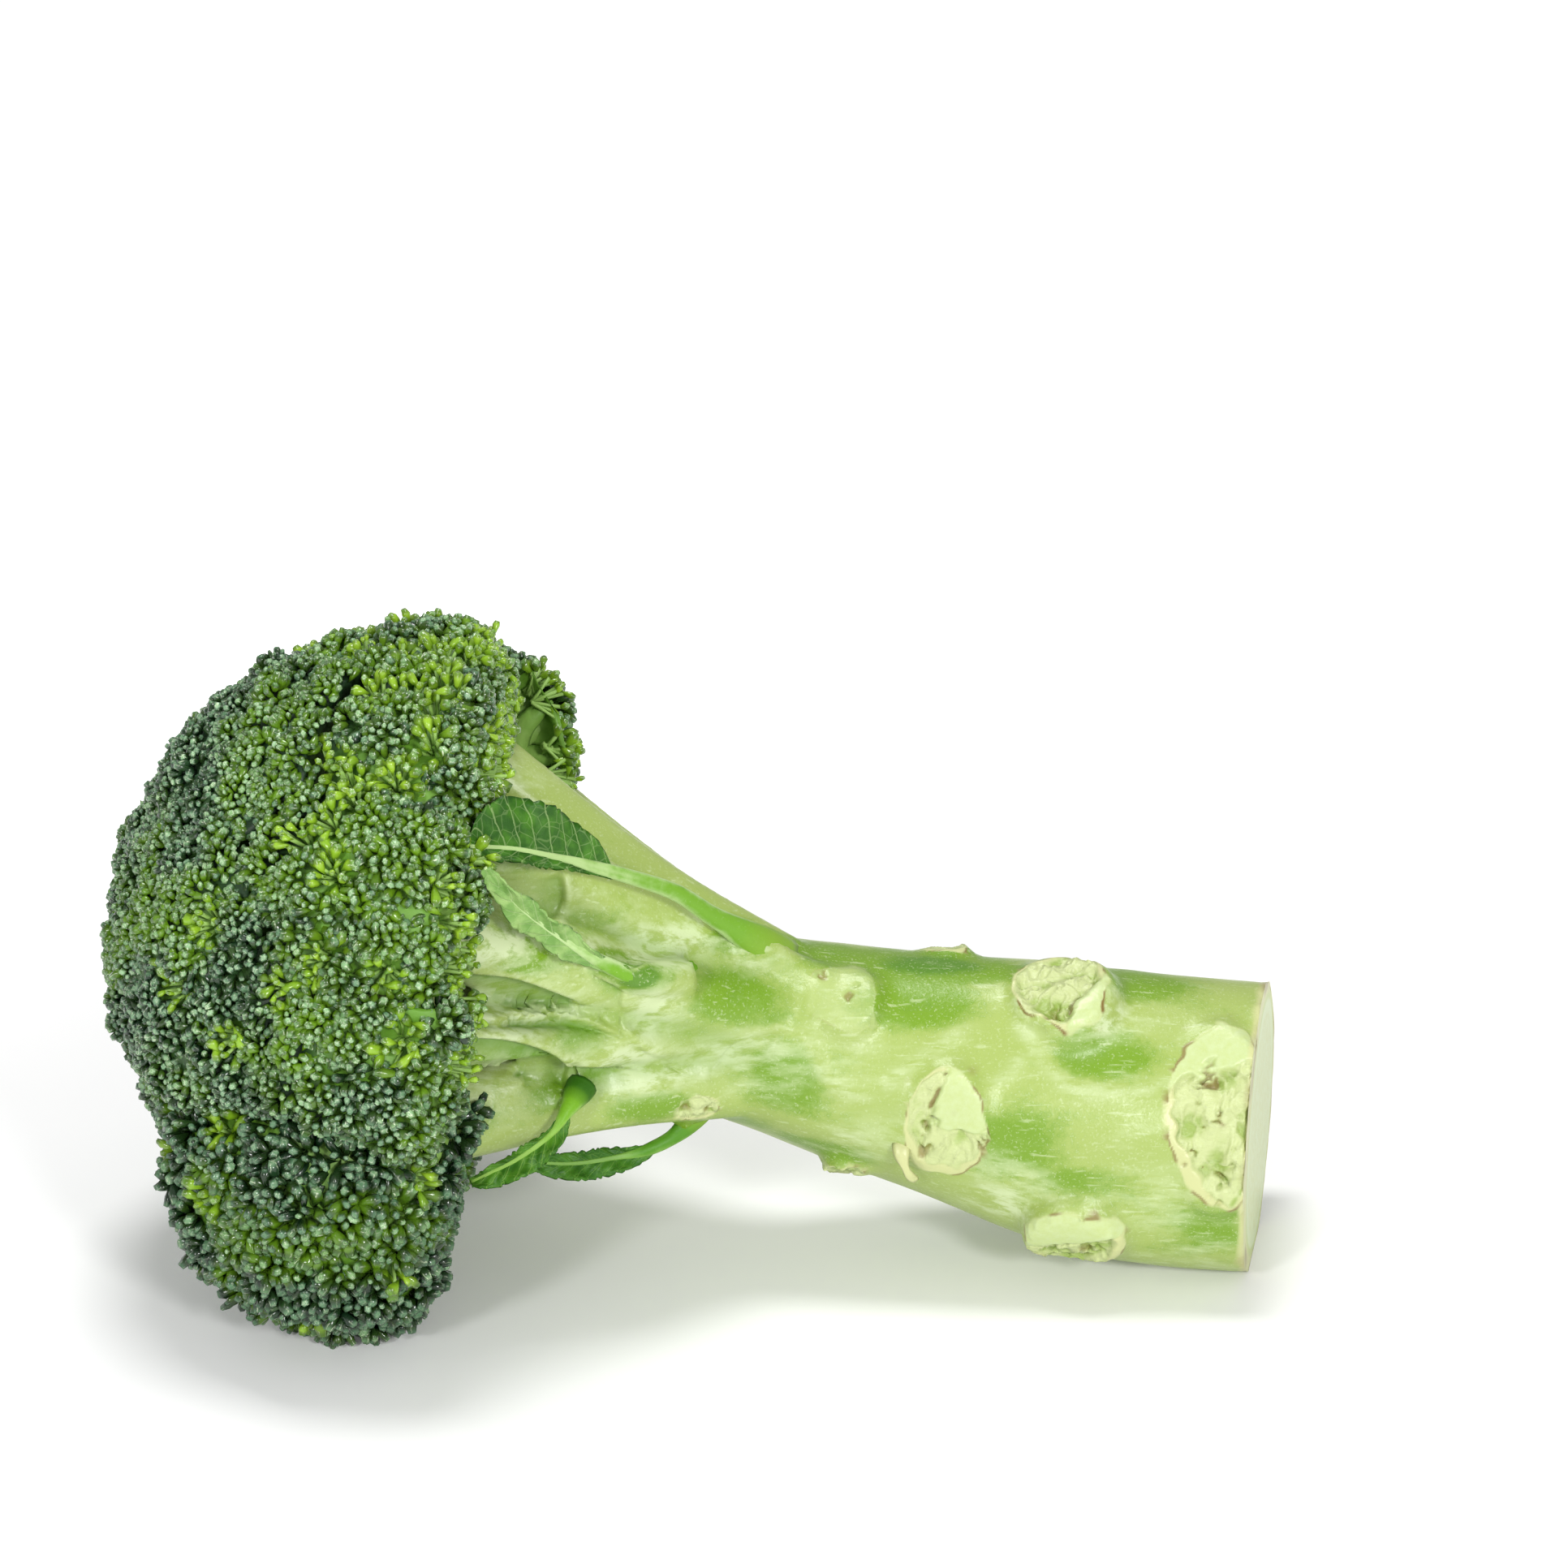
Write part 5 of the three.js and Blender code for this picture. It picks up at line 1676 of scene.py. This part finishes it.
    def _cut(self, points: Array, marks: dict[str, Array]) -> Array:
        """Cuts the stalk's end off on the slant, and leaves its skin a little curled there."""
        cut = np.array([math.cos(self.CUT_TURN), -math.sin(self.CUT_TURN), 0.0])
        face = self._middle(self.CUT_ALONG, 25)
        beyond = (points - face) @ cut
        height, radius = self.trunk_at(points[:, 0] - CROWN_CENTRE[0])
        spoke = np.stack([0 * height, points[:, 1] - HEAD_SHIFT[1], points[:, 2] - height], axis=1)
        inward = radius - np.linalg.norm(spoke, axis=1)
        curl = 0.5 * smooth_step(-1.6, -0.2, beyond) * smooth_step(1.8, 0.3, np.abs(inward))
        curl = curl * wavy(points, 1.4)
        points = points - cut * np.maximum(beyond, 0)[:, None] + unit(spoke) * curl[:, None]
        dried = smooth_step(-1.2, -0.4, beyond) * smooth_step(1.3, 0.3, inward)
        marks["cut"] = smooth_step(-0.35, -0.05, beyond)
        marks["inward"] = np.clip(inward / 10, 0, 3)
        marks["pith"] = marks["pith"] * (1 - marks["cut"])
        marks["border"] = np.maximum(marks["border"], dried)
        browned = 0.55 * dried * smooth_step(-0.2, 0.5, wavy(points, 2.6))
        marks["rim"] = np.maximum(marks["rim"], browned)
        return points

    def mesh(self) -> Mesh:
        """The finished stalk, in millimetres."""
        mesh = self._skin()
        self._refine(mesh)
        points = places_of(mesh)
        normals = numbers(mesh.vertex_normals, "vector", 3, np.float32).reshape(-1, 3).astype(float)
        names = ("pith", "border", "sealed", "deep", "rim", "cut", "inward", "crease")
        marks = {name: np.zeros(len(points)) for name in names}
        valley = self._between_branches(points)
        sunk = 0 * valley
        # The valleys between the rim's branches take painted shade.
        marks["crease"] = 0.45 * valley
        lip = np.zeros(len(points))
        for fold in self.FOLDS:
            far, aside, strength = self._from_fold(fold, points, normals)
            if fold.reach:
                level = smooth_step(-0.6 * fold.width, fold.width, aside) * strength
                groove = level * np.exp(-((np.maximum(aside, 0) / fold.reach) ** 2))
                ridge = strength * np.exp(-(((aside + 1.6 * fold.width) / (1.6 * fold.width)) ** 2))
                sunk = sunk + fold.depth * groove - 0.35 * min(1.0, fold.depth) * ridge
                # The sunken side of a lapped fold takes painted shade, as under the branch that
                # laps over it.
                crease = groove**1.5 * min(1.0, 0.45 * fold.depth)
                marks["crease"] = np.maximum(marks["crease"], crease)
            else:
                ridge = strength * np.exp(-((far / fold.width) ** 2))
                sunk = sunk + fold.depth * ridge
            lip = np.maximum(lip, ridge)
        sunk = sunk + 0.9 * valley * smooth_step(0.5, 0.0, sunk)
        points = points - normals * sunk[:, None]
        marks["shade"] = self._patched([*self.GREENER, *self._far_side()], points) - 0.3 * lip
        marks["bloom"] = np.maximum(self._patched(self.BLOOMED, points), 0.5 * lip)
        marks["bloom"] = marks["bloom"] * (1 - 0.9 * smooth_step(0.8, 1.5, marks["shade"]))
        points = self._tear(points, normals, marks)
        points = self._cut(points, marks)
        points[:, 2] = np.maximum(points[:, 2], 0)
        move_to(mesh, points)
        flap = self._flap()
        whole = bmesh.new()
        whole.from_mesh(mesh)
        bpy.data.meshes.remove(mesh)
        added = len(flap.verts)
        mesh = joined([whole, flap], "stalk_skin")
        for name, values in marks.items():
            mark(mesh, name, np.concatenate([values, np.full(added, float(name == "border"))]))
        return mesh


# ---- Leaves ----
@dataclass(frozen=True)
class Leaf:
    """A small leaf.

    line is its midrib from the stalk outwards, before the head's shift; face is the way its upper
    side looks; wide is the blade's width below and above the midrib; start is the share of the
    line that is bare; rib is the leafstalk's radius; teeth is the depth of the saw edge; foot is
    the line on which it grows out of the stalk, and swell its radius at both ends of that line;
    widest is the share of the blade at which it is widest.
    """

    name: str
    line: Sequence[Point]
    face: Point
    wide: tuple[float, float]
    start: float
    rib: float
    teeth: float
    foot: Sequence[Point]
    swell: tuple[float, float]
    finish: LeafFinish
    widest: float = 0.5

    ACROSS = 16
    ALONG = 120
    RIB_STEPS = 44
    TEETH = 12
    FOLDS = 9
    THICKNESS = 0.5

    def root(self) -> Shape:
        """The swelling on the stalk that the leaf grows out of."""
        first, last = self.swell
        return tube(
            shifted_line(self.foot), 12, 16, lambda share, angle: first + (last - first) * share
        )

    def _frame(self, share: Array) -> tuple[Array, Array, Array]:
        """The midrib's points at shares of it, and the ways across the blade and up from it."""
        line = shifted_line(self.line)
        tangent = line.tangent(share)
        face = unit(np.array(self.face))
        up = unit(face - tangent * (tangent @ face)[:, None])
        return line.at(share), np.cross(up, tangent), up

    def _rib(self) -> Shape:
        """The leafstalk and midrib, grooved along the top."""

        def place(angle: Array, ring: Array) -> Array:
            """Where the ball's points go on the rib."""
            share, is_pole = stages(ring, self.RIB_STEPS)
            centre, side, up = self._frame(share)
            flare = 1 + 0.7 * smooth_step(0.28, 0.05, share)
            thin = 1 - 0.5 * smooth_step(self.start, self.start + 0.25, share)
            radius = np.where(is_pole, 0.0, self.rib * (1.12 - 0.80 * share**0.8) * flare * thin)
            groove = 0.45 * np.exp(-((np.cos(angle) / 0.45) ** 2)) * (np.sin(angle) > 0)
            groove = groove * smooth_step(0.35, 0.6, share)
            sideways = np.cos(angle) * radius * 1.1
            upwards = np.sin(angle) * radius * (0.95 - groove)
            return centre + side * sideways[:, None] + up * upwards[:, None]

        return drawn_ball(14, self.RIB_STEPS + 2, place)

    def _blade(self) -> Shape:
        """The blade: a thin waved sheet with a saw edge."""
        shape = bmesh.new()
        shape.loops.layers.uv.new("UVMap")
        counts = {"x_segments": self.ACROSS, "y_segments": self.ALONG}
        bmesh.ops.create_grid(shape, size=1.0, calc_uvs=True, **counts)
        flat = np.array([vert.co for vert in shape.verts])
        across, share = flat[:, 0], (flat[:, 1] + 1) / 2
        along = self.start + (1 - self.start) * share
        centre, side, up = self._frame(along)
        below, above = self.wide
        fill = np.sin(math.pi / 2 * np.clip(share / self.widest, 0, 1)) ** 0.65
        past = np.clip((share - self.widest) / (1 - self.widest), 0, 0.99)
        fill = np.maximum(fill * np.sqrt(1 - past**2), 0.02)
        saw = share * self.TEETH + 0.45 * np.sin(13 * share) + 0.2 * np.sin(41 * share)
        tooth = np.abs((saw % 1) - 0.3)
        tooth = tooth * (0.35 + 0.65 * np.abs(np.sin(9.7 * share + across)))
        saw = self.teeth * fill * tooth * np.abs(across) ** 4
        wide = np.where(across > 0, below, above) * fill - saw
        reach = np.maximum(wide, self.rib * 0.5) * across
        wave = 0.8 * fill * np.sin(share * 19 + 2 * across) * across**2
        aside = np.abs(across)
        pucker = 0.16 * fill * np.cos(share * self.FOLDS * 2 * math.pi - 2.6 * math.pi * aside)
        rise = 0.26 * np.abs(reach) + wave + pucker * aside * (1 - aside) * 4
        points = centre + side * reach[:, None] + up * rise[:, None]
        for vert, point in zip(shape.verts, points):
            vert.co = point
        bmesh.ops.solidify(shape, geom=list(shape.faces), thickness=self.THICKNESS)
        return shape

    def mesh(self) -> Mesh:
        """The blade and its midrib, in millimetres."""
        rib = self._rib()
        count = len(rib.verts)
        mesh = joined([rib, self._blade()], self.name)
        points = places_of(mesh)
        middles, _, ups = self._frame(np.linspace(0, 1, 60))
        offset = points[:count, None, :] - middles[None, :, :]
        nearest = np.linalg.norm(offset, axis=2).argmin(axis=1)
        height = np.sum(offset[np.arange(count), nearest] * ups[nearest], axis=1)
        found = {
            "rib": np.ones(count),
            "upper": 0.5 + 0.5 * np.clip(height / (0.8 * self.rib), -1, 1),
            "base": smooth_step(12, 4, nearest),
        }
        for name, values in found.items():
            mark(mesh, name, np.concatenate([values, np.zeros(len(points) - count)]))
        return mesh


LEAVES = [
    Leaf(
        "leaf_upper",
        [
            (17, -5.4, 57.0), (12.6, -9.4, 61.6), (5, -14, 68), (-1.5, -17.5, 73.6),
            (-13, -24, 79.8), (-20, -28.6, 83.4), (-26.5, -33.2, 86.4), (-33, -38.5, 88.6),
        ],
        (-0.1, -0.85, 0.5), (2.2, 8.4), 0.58, 1.8, 0.9,
        [(26, -6.5, 51.0), (19, -7.5, 55.2), (14.4, -9.0, 60.0), (10.2, -11.2, 63.4)], (4.6, 2.0),
        LeafFinish(), widest=0.72,
    ),
    Leaf(
        "leaf_front",
        [
            (1.0, -14.5, 57.6), (-5.0, -25.4, 60.4), (-12.6, -31.0, 66.0), (-19, -35.4, 72),
            (-25.3, -40.6, 79.4), (-30, -45.4, 87.4),
        ],
        (-0.25, -0.95, 0.2), (2.8, 2.8), 0.38, 1.7, 0.9,
        [(1, -19, 59.4), (-4.6, -24.8, 60.8), (-9.2, -28.2, 63.2), (-13, -30.4, 66.0)], (4.0, 1.4),
        LeafFinish(
            blade=(0.150, 0.300, 0.065), light=(0.290, 0.450, 0.140), rib=(0.440, 0.590, 0.260),
            stem=(0.160, 0.360, 0.020), foot=(0.130, 0.310, 0.012),
        ),
    ),
    Leaf(
        "leaf_lower",
        [
            (-16.6, -25, 41.6), (-18.6, -30, 39.6), (-21.5, -32.8, 36), (-27, -34.4, 32.3),
            (-31.5, -35.2, 30.2), (-34.6, -35.6, 28.8),
        ],
        (0.1, -0.8, 0.6), (3.2, 1.5), 0.22, 1.3, 0.8,
        [(-13.6, -22, 43.4), (-16.4, -25.4, 41.8), (-18.6, -29.4, 39.8)], (2.6, 1.4),
        LeafFinish(
            blade=(0.030, 0.120, 0.008), light=(0.080, 0.230, 0.014), rib=(0.260, 0.460, 0.080),
            stem=(0.160, 0.370, 0.016), foot=(0.030, 0.120, 0.006),
        ),
    ),
    Leaf(
        "leaf_under",
        [
            (3.8, -10.4, 33), (-0.6, -12.8, 28), (-6, -15, 25.6), (-12, -17, 24.9),
            (-19, -19.6, 25), (-26, -22, 26.4),
        ],
        (0.05, -0.9, 0.42), (2.8, 2.2), 0.34, 1.4, 0.8,
        [(6.4, -8.6, 36.5), (3.0, -11.0, 31.8), (-0.4, -12.8, 28.2)], (2.8, 1.5),
        LeafFinish(
            blade=(0.030, 0.120, 0.010), light=(0.070, 0.210, 0.018), rib=(0.180, 0.360, 0.060),
            stem=(0.080, 0.240, 0.014),
        ),
    ),
]


# ---- Studio ----
@dataclass(frozen=True)
class Lamp:
    """A soft white lamp: its place, its size and its power."""

    name: str
    place: Point
    size: float
    power: float


class Studio:
    """The floor, the lights and the camera."""

    TARGET = Vector((0.01463, 0.0015, 0.0866))
    DISTANCE = 0.63
    ELEVATION = math.radians(18)
    LENS = 85
    SENSOR = 36
    WORLD = 0.43
    FLOOR = 6.0
    GLOW_RANGE = (130.0, 420.0)
    GLOW = (0.06, 0.62)
    LAMPS = [
        Lamp("top", (-0.06, 0.12, 1.15), 0.36, 6.4),
        Lamp("key", (0.42, -0.94, 0.46), 0.20, 6.0),
        Lamp("fill", (-0.45, -0.86, 0.46), 0.16, 3.6),
    ]

    def build(self) -> None:
        """Makes them all."""
        self._camera()
        self._floor()
        for lamp in self.LAMPS:
            self._lamp(lamp)
        world = bpy.data.worlds.new("studio")
        world.use_nodes = True
        background = world.node_tree.nodes["Background"].inputs
        background["Color"].default_value = (1, 1, 1, 1)
        background["Strength"].default_value = self.WORLD
        bpy.context.scene.world = world
        bpy.context.scene.view_settings.view_transform = "Standard"

    def _camera(self) -> None:
        """A long lens, a little above the head."""
        data = bpy.data.cameras.new("camera")
        data.lens = self.LENS
        data.sensor_width = self.SENSOR
        camera = placed("camera", data)
        offset = Vector((0, -math.cos(self.ELEVATION), math.sin(self.ELEVATION)))
        camera.location = self.TARGET + offset * self.DISTANCE
        camera.rotation_euler = (math.pi / 2 - self.ELEVATION, 0, 0)
        bpy.context.scene.camera = camera

    def _lamp(self, lamp: Lamp) -> None:
        """One lamp, turned to the head."""
        data = bpy.data.lights.new(lamp.name, "AREA")
        data.shape = "DISK"
        data.size = lamp.size
        data.energy = lamp.power
        made = placed(lamp.name, data)
        made.location = lamp.place
        way = self.TARGET - Vector(lamp.place)
        made.rotation_euler = way.to_track_quat("-Z", "Y").to_euler()

    def _floor(self) -> None:
        """A wide white floor."""
        shape = bmesh.new()
        bmesh.ops.create_grid(shape, x_segments=1, y_segments=1, size=self.FLOOR)
        mesh = bpy.data.meshes.new("floor")
        shape.to_mesh(mesh)
        shape.free()
        graph = Graph("floor")
        place = graph.millimetres()
        shade = graph.blend(graph.noise(place, 40.0), (0.90, 0.90, 0.90), (0.93, 0.93, 0.93))
        away = graph.field("ShaderNodeVectorMath", {"operation": "LENGTH"}, {0: place}, "Value")
        near, far = ((level,) * 3 for level in self.GLOW)
        glow = graph.blend(graph.step(away, *self.GLOW_RANGE), near, far)
        finish = {"Base Color": shade, "Roughness": 0.9}
        mesh.materials.append(
            graph.finish({**finish, "Emission Color": glow, "Emission Strength": 1.0})
        )
        placed("floor", mesh)


def main() -> None:
    """Builds the head around the part, then the studio."""
    logging.basicConfig(level=logging.INFO, format="%(message)s")
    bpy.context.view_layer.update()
    bud_skin = BudFinish().material()
    stem_skin = StemFinish().material()
    for floret in FLORETS:
        floret.keep_clear_of(FLORETS)
    for number, floret in enumerate(FLORETS):
        coat = Coat(floret, SEED + number)
        buds, bud_stems = coat.meshes()
        core = Core(coat).mesh(bud_stems)
        hand_over(core, floret.name + "_core", stem_skin, [floret.name])
        hand_over(buds, floret.name + "_buds", bud_skin, [floret.name])
    hand_over(Stalk().mesh(), "stalk_skin", StalkFinish().material(), ["stalk"])
    for leaf in LEAVES:
        material = leaf.finish.material(leaf.name + " skin")
        hand_over(leaf.mesh(), leaf.name + "_blade", material, [leaf.name])
    Studio().build()


if __name__ == "__main__":
    main()
